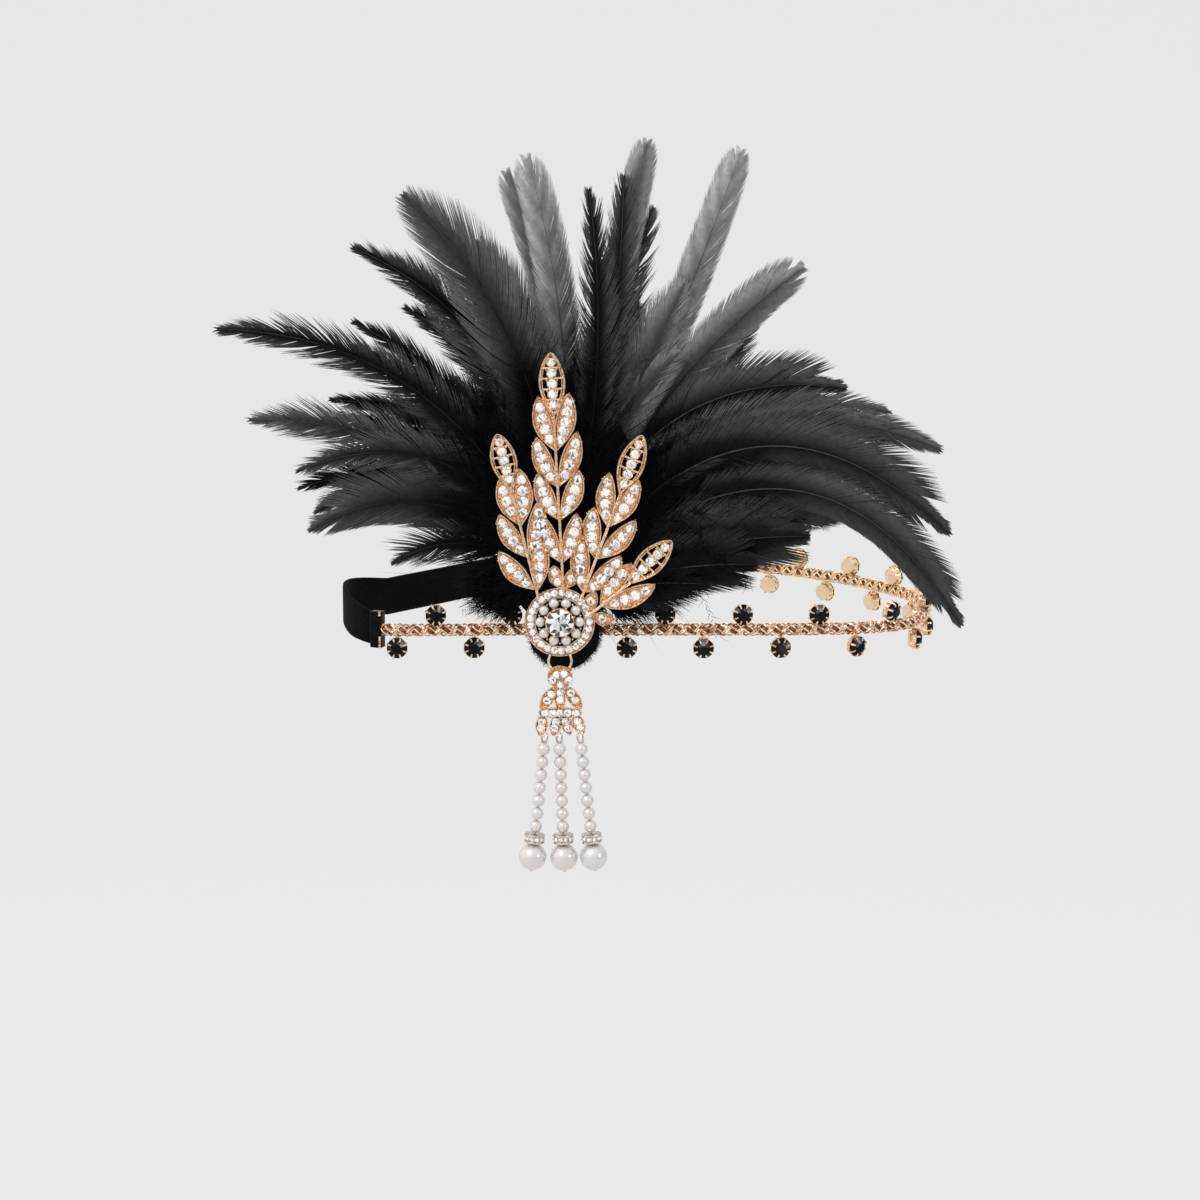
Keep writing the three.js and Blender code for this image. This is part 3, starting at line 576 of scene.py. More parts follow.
def barbBlank(cuts):
    # a three-sided sliver 1 long; its rings get their width when it is copied
    sliver = started(cone, vertices=3, radius1=1, radius2=0, depth=1, location=(0, 0, 0.5))
    for height in cuts:
        pickAll()
        bpy.ops.mesh.bisect(plane_co=(0, 0, height), plane_no=(0, 0, 1))
    pickAll()
    bpy.ops.mesh.quads_convert_to_tris()
    blank = finished(sliver, smooth=True)
    height = blank["points"][:, 2]
    spread = np.maximum(1 - height, 1e-9)
    blank["points"][:, :2] /= np.where(height < 0.999, spread, 1)[:, None]
    return blank


stiffBarb = barbBlank([0.5])
softBarb = barbBlank([0.35, 0.7])


def bezier(start, middle, end, share):
    share = share[:, None]
    place = (1 - share) ** 2 * start + 2 * share * (1 - share) * middle + share ** 2 * end
    run = 2 * (1 - share) * (middle - start) + 2 * share * (end - middle)
    return place, run / np.linalg.norm(run, axis=1, keepdims=True)


def barbs(barb, foot, run, aside, face, length, angle, curl, sweep, lift, width, tone, toneEnd):
    # many barbs at once: every argument is one value or one row for each barb
    height = barb["points"][:, 2]
    count = len(foot)
    t = height[None, :, None]
    length, angle, curl, sweep, lift = (
        np.broadcast_to(value, (count,))[:, None, None] for value in (length, angle, curl, sweep, lift))
    run, aside, face = run[:, None, :], aside[:, None, :], face[:, None, :]
    ahead = np.cos(angle) * run + np.sin(angle) * aside
    across = -np.sin(angle) * run + np.cos(angle) * aside
    middle = foot[:, None, :] + length * (t * ahead - 0.5 * curl * t * t * across) \
        + sweep * t * t * run + lift * length * t * t * face
    profile = np.interp(height, [0, 0.5, 0.8, 1], [*width, 0])
    flat = barb["points"][:, 0] * profile
    thick = barb["points"][:, 1] * plume["barbThickness"]
    points = middle + flat[None, :, None] * across + thick[None, :, None] * face
    corners = barb["corners"][None] + (np.arange(count) * len(height))[:, None, None]
    tones = np.broadcast_to(tone, (count,))[:, None] * (1 - height) \
        + np.broadcast_to(toneEnd, (count,))[:, None] * height
    return points.reshape(-1, 3), corners.reshape(-1, 3), tones.ravel()


def tube(centre, radius, tone, sides=5):
    # a closed tapering tube along centre
    run = np.gradient(centre, axis=0)
    run /= np.linalg.norm(run, axis=1, keepdims=True)
    first = np.cross(run, (0, 1, 0.01))
    first /= np.linalg.norm(first, axis=1, keepdims=True)
    second = np.cross(run, first)
    turn = np.arange(sides) * 2 * math.pi / sides
    ring = np.cos(turn)[None, :, None] * first[:, None] + np.sin(turn)[None, :, None] * second[:, None]
    points = (centre[:, None] + radius[:, None, None] * ring).reshape(-1, 3)
    corners = []
    for i in range(len(centre) - 1):
        for j in range(sides):
            a, b = i * sides + j, i * sides + (j + 1) % sides
            corners += [(a, b, b + sides), (a, b + sides, a + sides)]
    last = len(points) - sides
    corners += [(0, j + 1, j) for j in range(1, sides - 1)]
    corners += [(last, last + j, last + j + 1) for j in range(1, sides - 1)]
    return points, np.array(corners), np.repeat(tone, sides)


def behindBrooch(points):
    # feathers lie down behind the brooch instead of crossing its front
    inside = (abs(points[:, 0] + 16) < 36) & (points[:, 2] > -10) & (points[:, 2] < 76)
    points[:, 1] = np.where(inside, np.maximum(points[:, 1],
            plume["frontY"] + 0.004 * abs(points[:, 0])), points[:, 1])
    over = np.clip(plume["reachY"] - points[:, 1], 0, None)
    points[:, 1] += 0.85 * over
    return points


def combined(parts):
    offset, points, corners, tones = 0, [], [], []
    for partPoints, partCorners, partTones in parts:
        points.append(partPoints)
        corners.append(partCorners + offset)
        tones.append(partTones)
        offset += len(partPoints)
    return np.concatenate(points), np.concatenate(corners), np.concatenate(tones)


def vaneReach(s, angle, half, length, kind):
    # how long each barb must be to end on the outline of the vane, rounded at the tip
    roundFrom = {"paddle": 0.92, "smooth": 0.82, "comb": 0.7}[kind]
    shoulder = {"paddle": 0.97, "smooth": 0.88, "comb": 0.8}[kind]
    long = half / np.sin(angle)
    for _ in range(14):
        end = s + long * np.cos(angle) / length
        wide = np.interp(end, [0, 0.1, 0.34, 0.62, 0.8, 1.05],
                         [0.3, 0.6, 0.92, 1.0, shoulder, shoulder * 0.85])
        wide *= np.sqrt(np.clip(1 - (np.clip(end - roundFrom, 0, None) / (1 - roundFrom)) ** 2, 0.003, 1))
        long = 0.5 * long + 0.5 * half * wide / np.sin(angle)
    return np.minimum(long, np.maximum(1 - s, 0.01) * length)


def featherParts(aimDegrees, reach, bow, width, lean, kind, pale, roll=0.0):
    length = reach * plume["fullReach"]
    half = width * plume["fullWidth"] / 2 * plume["vaneSpread"]
    a = math.radians(aimDegrees)
    ahead = np.array((math.cos(a), 0, math.sin(a)))
    left = np.array((-math.sin(a), 0, math.cos(a)))
    back = np.array((0.0, 1.0, 0.0))
    root = np.array(plume["root"])
    middle = root + ahead * length * 0.55 + left * length * bow * 2 + back * length * lean * 0.3
    end = root + ahead * length + back * length * lean
    smooth = kind != "comb"
    paddle = kind == "paddle"

    share = np.linspace(0, 1, 30)
    place, run = bezier(root, middle, end, share * plume["shaftEnd"])
    shaftToneAndHighlight = np.interp(share, [0, 0.4, 1], [0.1, 0.15 + 0.1 * pale, 0.3 + 0.2 * pale])
    # on the smooth and paddle feathers at the right the shaft is painted paler along its middle: a painted
    # highlight on the shaft
    if smooth and aimDegrees < 35:
        shaftToneAndHighlight = np.interp(share, [0, 0.3, 0.7, 1], [0.1, 0.33, 0.36, 0.32])
    parts = [tube(place, plume["shaftRadius"] * (0.8 if smooth else 1) * (1.12 - share) ** 1.2 + 0.05,
                  shaftToneAndHighlight)]

    pitch = plume["barbPitch"] * 1
    count = int(length * 0.93 / pitch)
    for side in (-1, 1):
        s = np.linspace(0.07, 0.982, count) + chance.normal(0, 0.0012, count)
        foot, run = bezier(root, middle, end, s)
        flatFace = np.cross(np.cross(run, back), run)
        flatFace /= np.linalg.norm(flatFace, axis=1, keepdims=True)
        across = np.cross(run, flatFace)
        tilt = roll + 0.25 * side * (0.5 - s)
        face = np.cos(tilt)[:, None] * flatFace + np.sin(tilt)[:, None] * across
        aside = side * np.cross(run, face)
        # clumps that part from their neighbours
        sizes = chance.integers(7, 26 if smooth else 16, count)
        group = np.repeat(np.arange(count), sizes)[:count]
        centre = np.zeros(count)
        for g in np.unique(group):
            centre[group == g] = s[group == g].mean()
        rough = 0.25 if paddle else 1.0
        clumpTurn = chance.normal(0, 0.014 if smooth else 0.05, count)[group] * rough
        clumpLift = chance.normal(0, 0.03 if smooth else 0.08, count)[group] * rough
        clumpLong = 1 + chance.normal(0, 0.02 if smooth else 0.09, count)[group] * rough
        pull = (0.12 if smooth else 0.35) * (centre - s) * length * rough
        angle = np.interp(s, [0, 0.3, 0.6, 0.85, 1], [1.15, 0.85, 0.62, 0.44, 0.34]) + clumpTurn
        angle += chance.normal(0, 0.012 if smooth else 0.03, count)
        long = vaneReach(s, np.maximum(angle * 0.85, 0.05), half, length, kind) * clumpLong
        long *= 1 + chance.normal(0, 0.018 if smooth else 0.08, count)
        # the barbs grow paler outwards: partly the feathers' own grey, partly painted light shining through
        # the thin tips
        toneFoot = np.interp(s, [0, 0.3, 0.55, 1], [0.0, 0.15, 0.5 * pale + 0.1, 0.85 * pale])
        toneTip = np.interp(s, [0, 0.3, 0.55, 1], [0.1, 0.4, 0.3 + 0.6 * pale, 0.2 + 0.8 * pale])
        if paddle and pale > 0.8:
            bars = 0.93 + 0.07 * np.sin(s * length * 0.62 + 2)
            toneFoot = np.interp(s, [0, 0.3, 0.5, 1], [0.05, 0.35, 0.72 * pale, 0.95 * pale]) * bars
            toneTip = np.interp(s, [0, 0.3, 0.5, 1], [0.1, 0.45, 0.8 * pale, pale]) * bars
        vane = s > plume["downEnd"] * (0.8 if smooth else 1)
        widths = (0.34, 0.36, 0.34) if paddle else (0.27, 0.22, 0.13) if smooth else (0.25, 0.16, 0.07)
        parts.append(barbs(stiffBarb, foot[vane], run[vane], aside[vane], face[vane], long[vane], angle[vane],
                           0.41 * angle[vane], pull[vane], clumpLift[vane] + 0.06, widths,
                           toneFoot[vane], toneTip[vane]))
        # fluff on the lower part
        for layer in range(2):
            fluff = np.flatnonzero(~vane)
            n = len(fluff)
            loose = chance.normal(0, 0.38, n)
            parts.append(barbs(
                softBarb, foot[fluff], run[fluff], aside[fluff], face[fluff],
                (long[fluff] * 1.15 + 2) * chance.uniform(0.55, 1.25, n), 1.0 + loose,
                chance.normal(0.5, 0.5, n), chance.normal(0, 1.5, n), chance.normal(0, 0.45, n),
                (0.11, 0.09, 0.06), 0.02, chance.uniform(0.05, 0.3, n)))
    return parts


def plumePiece(name, parts):
    points, corners, tones = combined(parts)
    points = behindBrooch(points)
    mesh = meshOf(name, points, corners, np.ones(len(corners)), np.zeros(len(corners)))
    mesh.attributes.new("tone", "FLOAT", "POINT").data.foreach_set("value", tones.astype(np.float32))
    ready(shown(name, mesh), [blackFeather], "headband", ["feather_plume"])
    print(name, len(corners), "triangles")


for i in range(plume["fillers"]):
    aimDegrees = 14 + 152 * (i + chance.uniform(0.1, 0.9)) / plume["fillers"]
    right = aimDegrees < 70
    featherRows.append((aimDegrees, chance.uniform(0.45, 0.74), 0.22 * math.cos(math.radians(aimDegrees)),
                        chance.uniform(0.8, 1.15), chance.uniform(0.06, 0.24), "smooth" if right else "comb",
                        chance.uniform(0.42, 0.6) if right else chance.uniform(0.12, 0.3)))
sections = {"plumeLeft": [], "plumeTop": [], "plumeMiddle": [], "plumeRight": []}
for row in featherRows:
    section = "plumeLeft" if row[0] > 125 else "plumeTop" if row[0] > 85 else \
        "plumeMiddle" if row[0] > 42 else "plumeRight"
    sections[section] += featherParts(*row, roll=chance.normal(0, 0.18))
for section, parts in sections.items():
    plumePiece(section, parts)

# The down: plumules with soft curling barbs on a dark body
down = {
    "lobes": [  # centre, half sizes, turn about the viewing axis
        ((-24, -60.3, 47.2), (29, 5.6, 31), 0.0),
        ((10.5, -60.3, 35.2), (25, 5.0, 20.5), 0.35),
        ((-38.5, -62.8, 13), (8.5, 1.8, 6.5), 0.45),
        ((3, -62.8, 11.5), (14, 1.8, 5), -0.43),
        ((-20.8, -62.4, 11), (15.5, 1.4, 8), 0.0),
    ],
    "plumules": [150, 80, 45, 45, 0], "lengths": [19, 17, 6, 4.5, 0], "barbsEach": 31, "barbShare": 0.3,
    "hairs": [0, 0, 1000, 600, 0], "hairLength": (3, 9),
}


def downBody():
    lumps = []
    for centre, halves, turn in down["lobes"]:
        lump = started(icoSphere, subdivisions=4, radius=1)
        growAll(halves[0] * 0.9, halves[1] * 0.85, halves[2] * 0.9)
        blank = finished(lump, smooth=True)
        wave = blank["points"]
        ripple = 1 + 0.07 * np.sin(wave[:, 0] * 0.55 + 2 * np.sin(wave[:, 2] * 0.4)) * np.cos(wave[:,
                2] * 0.5)
        blank["points"] = wave * ripple[:, None]
        lumps.append(moved(blank, Matrix.Translation(centre) @ spun(turn, "Y")))
    blank = merged(*lumps)
    return blank["points"], blank["corners"], np.zeros(len(blank["points"]))


def plumules():
    parts = [downBody()]
    root = np.array(plume["root"]) + (0, 3, 4)
    for (centre, halves, turn), total, full in zip(down["lobes"], down["plumules"], down["lengths"]):
        total = total
        rotate = np.array(Matrix.Rotation(turn, 3, "Y"))
        for _ in range(total):
            spot = chance.normal(0, 1, 3)
            spot /= np.linalg.norm(spot)
            spot[1] = -abs(spot[1]) if chance.random() < 0.75 else abs(spot[1])
            foot = np.array(centre) + rotate @ (spot * halves) * 0.72
            outward = foot - root
            outward /= np.linalg.norm(outward) + 1e-9
            side = rotate @ (spot / np.array(halves))
            side /= np.linalg.norm(side)
            long = full * chance.uniform(0.6, 1.2)
            lean = outward * 0.8 + side * 0.45 + chance.normal(0, 0.25, 3) * (1, 0.5, 1)
            lean /= np.linalg.norm(lean)
            bend = chance.normal(0, 0.35, 3) * (1, 0.4, 1)
            middle = foot + lean * long * 0.5
            end = foot + lean * long + bend * long
            s = np.linspace(0.05, 1, down["barbsEach"])
            place, run = bezier(foot, middle, end, s)
            face = np.cross(run, chance.normal(0, 1, 3))
            face /= np.linalg.norm(face, axis=1, keepdims=True)
            aside = np.cross(run, face) * np.where(np.arange(len(s)) % 2, 1, -1)[:, None]
            n = len(s)
            parts.append(barbs(
                softBarb, place, run, aside, face,
                full * down["barbShare"] * (1.15 - 0.6 * s) * chance.uniform(0.6, 1.3, n),
                0.8 + chance.normal(0, 0.3, n), chance.normal(0.2, 0.6, n), 0.0, chance.normal(0, 0.5, n),
                (0.09, 0.075, 0.05), 0.02, chance.uniform(0.05, 0.4, n)))
    return parts


def hairs():
    # loose straight hairs where the plume runs out above the chain
    parts = []
    root = np.array(plume["root"]) + (0, 3, 4)
    for (centre, halves, turn), count in zip(down["lobes"], down["hairs"]):
        count = count
        if not count:
            continue
        spot = chance.normal(0, 1, (count, 3))
        spot /= np.linalg.norm(spot, axis=1, keepdims=True)
        rotate = np.array(Matrix.Rotation(turn, 3, "Y"))
        foot = np.array(centre) + (spot * np.array(halves) * 0.85) @ rotate.T
        run = foot - root + chance.normal(0, 2, (count, 3)) * (1, 0.3, 1)
        run[:, 1] *= 0.2
        run /= np.linalg.norm(run, axis=1, keepdims=True)
        face = np.broadcast_to((0.0, -1.0, 0.0), run.shape)
        aside = np.cross(run, face)
        parts.append(barbs(
            softBarb, foot, run, aside, face, chance.uniform(*down["hairLength"], count),
            chance.normal(0, 0.25, count), chance.normal(0, 0.3, count), 0.0, chance.normal(0, 0.08, count),
            (0.12, 0.1, 0.07), 0.02, chance.uniform(0.05, 0.3, count)))
    return parts


plumePiece("plumeDown", plumules() + hairs())
print("plume ready")


# Head loop: the same plan as the frame, starting front left and running to the right

loopShape = {
    "width": 173, "depth": 118, "bandShare": 0.37,
    "plan": [(-0.84, -1.0), (-0.469, -1.0), (-0.123, -1.0), (0.224, -1.0), (0.56, -0.99), (0.76, -0.95),
             (0.895, -0.85), (0.965, -0.66), (1.0, -0.36), (0.975, -0.04), (0.87, 0.26), (0.73, 0.54),
             (0.53, 0.8), (0.28, 0.96), (0.0, 1.0), (-0.28, 0.87), (-0.52, 0.58), (-0.72, 0.22),
             (-0.88, -0.08), (-0.98, -0.32), (-0.99, -0.62), (-0.93, -0.9)],
}


def loopCurve():
    # closed centripetal Catmull-Rom, as points at even steps with their distances
    knots = np.array(loopShape["plan"]) * (loopShape["width"] / 2, loopShape["depth"] / 2)
    total = len(knots)
    points = []
    for i in range(total):
        a, b, c, d = (knots[(i + k) % total] for k in (-1, 0, 1, 2))
        gaps = [math.sqrt(np.linalg.norm(q - p)) for p, q in ((a, b), (b, c), (c, d))]
        slopeB = ((b - a) / gaps[0] - (c - a) / (gaps[0] + gaps[1]) + (c - b) / gaps[1]) * gaps[1]
        slopeC = ((c - b) / gaps[1] - (d - b) / (gaps[1] + gaps[2]) + (d - c) / gaps[2]) * gaps[1]
        for t in np.linspace(0, 1, 60, endpoint=False):
            points.append(b + slopeB * t + (-3 * b + 3 * c - 2 * slopeB - slopeC) * t ** 2
                          + (2 * b - 2 * c + slopeB + slopeC) * t ** 3)
    points.append(points[0])
    points = np.array(points)
    steps = np.concatenate([[0], np.cumsum(np.linalg.norm(np.diff(points, axis=0), axis=1))])
    return points, steps


loopPoints, loopSteps = loopCurve()
loopLength = loopSteps[-1]
chainLength = loopLength * (1 - loopShape["bandShare"])


def loopAt(distance):
    def where(d):
        d = d % loopLength
        return Vector((np.interp(d, loopSteps, loopPoints[:, 0]),
                       np.interp(d, loopSteps, loopPoints[:, 1]), 0))
    along = (where(distance + 0.3) - where(distance - 0.3)).normalized()
    return where(distance), along, Vector((along.y, -along.x, 0))


def facingOut(blank, distance, up):
    # a blank's X runs along the loop, Y up and Z outward
    place, along, outward = loopAt(distance)
    return moved(blank, axesAt(along, Vector((0, 0, 1)), outward, place + Vector((0, 0, up))))


# Rope chain with its cups

chain = {
    "pitch": 0.62, "turn": 54, "tilt": 54, "linkRadius": 1.68, "linkWire": 0.27, "oval": 1.1, "core": 0.95,
    "firstStone": 3.9, "lastStone": 11.1, "stones": 27, "lowerDrop": 5.2, "upperRise": 4.4,
    "cupRadius": 2.92, "cupBack": 1.3, "cupFront": 0.7, "prongs": 8,
    "backDisc": 2.45, "stoneRadius": 3.0, "stoneHeight": 1.5, "stoneSunk": 0.4, "stoneTable": 0.44,
    "stoneRise": 1.0,
}


def linkBlank():
    link = started(torus, major_radius=chain["linkRadius"], minor_radius=chain["linkWire"],
                   major_segments=12, minor_segments=5)
    growAll(chain["oval"], 1, 1)
    return finished(link, smooth=True)


def cupBlank():
    # a round cup with a stepped wall; its flat back faces the head
    depth = chain["cupFront"] + chain["cupBack"]
    cup = started(cylinder, vertices=16, radius=chain["cupRadius"] * 0.82, depth=depth,
                  location=(0, 0, chain["cupFront"] - depth / 2))
    pickFaces(lambda centre, normal: normal.z > 0.9)
    grow(1.22, 1.22, 1, (0, 0, chain["cupFront"]))
    inset(0.3)
    push(0, 0, -0.35)
    pickFaces(lambda centre, normal: normal.z < -0.9)
    inset(0.28)
    push(0, 0, 0.18)
    return finished(cup, smooth=True)


def prongBlank():
    # starts on the cup's wall, rises past the stone's edge and folds over it
    prong = started(cube, size=1, location=(chain["cupRadius"] - 0.05, 0, 0.1))
    growAll(0.4, 0.52, 1.2, (chain["cupRadius"] - 0.05, 0, 0.1))
    for step in ((0.02, 0.75, 1.0), (-0.3, 0.5, 1.0), (-0.5, 0.1, 0.85)):
        bpy.ops.mesh.select_all(action="DESELECT")
        mesh = bmesh.from_edit_mesh(prong.data)
        top = max(mesh.faces, key=lambda f: f.calc_center_median().z)
        top.select_set(True)
        bmesh.update_edit_mesh(prong.data)
        push(step[0], 0, step[1])
        centre = top.calc_center_median() if top.is_valid else Vector((chain["cupRadius"], 0, 1))
        grow(1, step[2], 1, centre)
    return finished(prong, smooth=True)


def beadBlank(radius, sides=6):
    bead = started(sphere, segments=sides, ring_count=4, radius=radius)
    growAll(1, 1, 0.8)
    return finished(bead, smooth=True)


def brilliantBlank(radius, height, sunk=0.9, table=0.55, split=True):
    # table, stars, kites and break facets; split cuts the table and stars in small triangles
    step = math.pi / 8

    def ring(count, share, z, start):
        return [(radius * share * math.cos(start + 2 * math.pi * k / count),
                 radius * share * math.sin(start + 2 * math.pi * k / count), z) for k in range(count)]

    points = ring(8, table, height, 0) + ring(8, (table + 1.02) / 2, height * 0.55, step) + ring(16, 1.0,
            0.12, 0) \
        + ring(16, 1.0, 0, 0) + [(0, 0, -sunk), (0, 0, height)] + ring(8, table * math.cos(step), height,
            step)
    mid, girdle, below, tip, top, halfway = 8, 16, 32, 48, 49, 50
    corners = []
    for k in range(8):
        after, even = (k + 1) % 8, girdle + (2 * k + 2) % 16
        corners += [(top, k, halfway + k), (top, halfway + k, after), (k, mid + k, halfway + k),
                    (halfway + k, mid + k, after)]
        corners += [(k, girdle + 2 * k, mid + k), (after, mid + k, even)]
        corners += [(mid + k, girdle + 2 * k, girdle + 2 * k + 1), (mid + k, girdle + 2 * k + 1, even)]
    for k in range(16):
        after = (k + 1) % 16
        corners += [(girdle + k, below + k, below + after), (girdle + k, below + after, girdle + after)]
        corners += [(below + k, tip, below + after)]
    blank = blankOf(points, corners)
    if not split:
        rows = np.arange(len(corners))
        blank["facet"] = np.where((rows < 64) & (rows % 8 < 2), 0, rows // 2)
    return blank


def chainPiece():
    link, parts = linkBlank(), []
    tilt = math.radians(chain["tilt"])
    count = int(chainLength / chain["pitch"])
    for i in range(count):
        place, along, outward = loopAt((i + 0.5) * chainLength / count)
        turn = math.radians(chain["turn"]) * i
        radial = math.cos(turn) * outward + math.sin(turn) * Vector((0, 0, 1))
        normal = (math.cos(tilt) * along + math.sin(tilt) * radial).normalized()
        across = along.cross(normal).normalized()
        parts.append(moved(link, axesAt(normal.cross(across), across, -normal, place)))
    # a dark brown tube through the rope: painted shade seen in the gaps between the links
    spine = np.array([loopAt(chainLength * k / 160)[0][:] for k in range(161)])
    corePoints, coreCorners, _ = tube(spine, np.full(161, chain["core"]), np.zeros(161), 8)
    parts.append(blankOf(corePoints, coreCorners, 2, True))
    cup = merged(cupBlank(), repainted(around(prongBlank(), chain["prongs"], math.pi / 8), 0))
    disc = started(cylinder, vertices=16, radius=chain["backDisc"], depth=0.34,
                   location=(0, 0, -chain["cupBack"] + 0.02))
    pickFaces(lambda centre, normal: normal.z < -0.9)
    inset(0.3)
    push(0, 0, -0.08)
    cup = merged(cup, repainted(finished(disc, smooth=True), 1))
    pitch = (chainLength - chain["firstStone"] - chain["lastStone"]) / (chain["stones"] - 1)
    for i in range(chain["stones"]):
        up = chain["upperRise"] if i % 2 else -chain["lowerDrop"]
        distance = chain["firstStone"] + i * pitch
        parts.append(facingOut(moved(cup, stoneTilts[i]), distance, up))
        sign = 1 if up > 0 else -1
        reach = abs(up) - chain["cupRadius"] + 0.6
        neck = started(cylinder, vertices=8, radius=0.42, depth=reach, rotation=(math.pi / 2, 0, 0),
                       location=(0, sign * reach / 2, 0))
        pickFaces(lambda centre, normal: abs(normal.y) > 0.9)
        grow(1.5, 1, 1.2)
        parts.append(facingOut(finished(neck, smooth=True), distance, 0))
    return pieceFrom("ropeChain", parts, [chainGold, paleGold, paintedShadeGold], "headband", ["rope_chain"],
                     split=35)


def litFacets(blank):
    # dark facets but for two or three at the upper right that catch the light
    values = chance.uniform(0, 0.8, int(blank["facet"].max()) + 1)
    k = int(chance.integers(0, 2))
    values[[4 * k + 1, 4 * k + 2, 4 * k + 3]] = (1.0, 0.93, 0.9)
    values[4 * k + 5] = 0.88
    return values


stonePitch = (chainLength - chain["firstStone"] - chain["lastStone"]) / (chain["stones"] - 1)
stoneTilts = []
for index in range(chain["stones"]):
    # the stones on the right front have swung outwards
    yaw = np.interp(chain["firstStone"] + index * stonePitch, [85, 105, 150, 165],
                    [0, 14, 24, 5]) + chance.normal(0, 5)
    stoneTilts.append(spun(math.radians(chance.normal(0, 5)), "X")
                      @ spun(math.radians(yaw), "Y"))
chainPiece()
blackCut = brilliantBlank(chain["stoneRadius"], chain["stoneHeight"], chain["stoneSunk"],
                          chain["stoneTable"], split=False)
for index in range(chain["stones"]):
    up = chain["upperRise"] if index % 2 else -chain["lowerDrop"]
    cut = moved(blackCut, stoneTilts[index] @ at(0, 0, chain["stoneRise"]) @ spun(chance.uniform(0, 0.8)))
    pieceFrom(f"blackStone{index + 1:02d}", [facingOut(cut, chain["firstStone"] + index * stonePitch,
            up)], [blackStone],
              "headband", [f"black_stone_{index + 1:02d}"], paintedGlints=litFacets(blackCut))
print("chain ready")

# Elastic band: a ribbed strap, and black clamps with gold beads

band = {"height": 11.3, "thickness": 1.2, "ribs": 13, "ribDepth": 0.07, "corner": 0.35, "clampLength": 3.6,
        "clampWall": 0.6, "gap": 0.3, "stations": 150, "lift": 3.2, "liftRun": 62, "frontHeight": 9.6,
        "clampHeight": 10.6}


def bandPiece():
    start = chainLength + band["gap"] + band["clampWall"] + band["gap"] - loopLength
    end = -band["gap"] - band["clampWall"] - band["gap"]
    halfH, halfT = band["height"] / 2, band["thickness"] / 2
    levels = np.linspace(-halfH, halfH, band["ribs"] * 4 + 1)
    edge = np.sqrt(np.clip(1 - ((np.abs(levels) - halfH + band["corner"]) / band["corner"]).clip(0) ** 2,
                           0.02, 1))
    rib = halfT * edge - band["ribDepth"] * (0.5 - 0.5
            * np.cos(2 * math.pi * (levels + halfH) / band["height"] * band["ribs"]))
    section = [(out, up) for out, up in zip(rib, levels)] + [(-out, up) for out,
            up in zip(rib[::-1], levels[::-1])]
    n = len(section)
    points, corners = [], []
    stations = band["stations"]
    for i in range(stations + 1):
        place, along, outward = loopAt(start + (end - start) * i / stations)
        run = (end - start) * (1 - i / stations)   # from the front clamp
        lift = band["lift"] * math.sin(math.pi * min(run / band["liftRun"], 1))
        tall = np.interp(run, [0, 14], [band["frontHeight"] / band["height"], 1])
        points += [place + outward * out + Vector((0, 0, up * tall + lift)) for out, up in section]
    for i in range(stations):
        for j in range(n):
            a, b = i * n + j, i * n + (j + 1) % n
            corners += [(a, b + n, b), (a, a + n, b + n)]
    half = n // 2
    for base, flip in ((0, True), (stations * n, False)):
        for j in range(half - 1):
            a, b, c, d = base + j, base + j + 1, base + n - 2 - j, base + n - 1 - j
            quad = [(a, c, b), (a, d, c)]
            corners += [q[::-1] if flip else q for q in quad]
    blank = blankOf([p[:] for p in points], corners, smooth=True)
    return pieceFrom("elasticBand", [blank], [blackElastic], "headband", ["elastic_band"],
                     split=50)


def clampPiece(name, node, start, end, mouth):
    # a folded black tab with gold beading along the edge that meets the chain
    wide = band["thickness"] + 2 * band["gap"] + 2 * band["clampWall"]
    tab = started(cube, size=1)
    growAll(end - start, band["clampHeight"], wide)
    bpy.ops.mesh.bevel(offset=0.35, segments=3, affect="EDGES")
    pickFaces(lambda centre, normal: abs(normal.z) > 0.9 and abs(centre.z) > wide * 0.49)
    inset(0.35, -0.08)
    parts = [finished(tab, smooth=True)]
    edge, half = (end - start) / 2 * mouth, band["clampHeight"] / 2 - 0.2
    bead = beadBlank(0.4, 10)
    parts += [repainted(moved(bead, at(edge, up, wide / 2 - 0.1)), 1)
              for up in np.linspace(-half, half, 15) if up < -half * 0.3 or up > half * 0.75]
    return pieceFrom(name, [facingOut(part, (start + end) / 2, 0) for part in parts],
                     [blackEnamel, chainGold],
                     "headband", [node], split=35)


bandPiece()
clampPiece("clampFront", "band_clamp_front", -band["gap"] - band["clampLength"], -band["gap"], 0.8)
clampPiece("clampBack", "band_clamp_back", chainLength + band["gap"],
           chainLength + band["gap"] + band["clampLength"], -0.8)
print("band ready")


# Brooch. It is drawn flat: right, up and towards the viewer from the medallion's middle.

brooch = {
    "x": -22, "z": 4.1, "backY": -67.9, "reach": 67.7, "leafLength": 16, "leafWidth": 4.7,
    "spread": 1.28, "pave": 3.05, "pavePitch": 3.15, "eyeY": -66.8, "eyeZ": -4.4,
}
toFront = axesAt(Vector((1, 0, 0)), Vector((0, 0, 1)), Vector((0, -1, 0)),
                 Vector((brooch["x"], brooch["backY"], brooch["z"])))
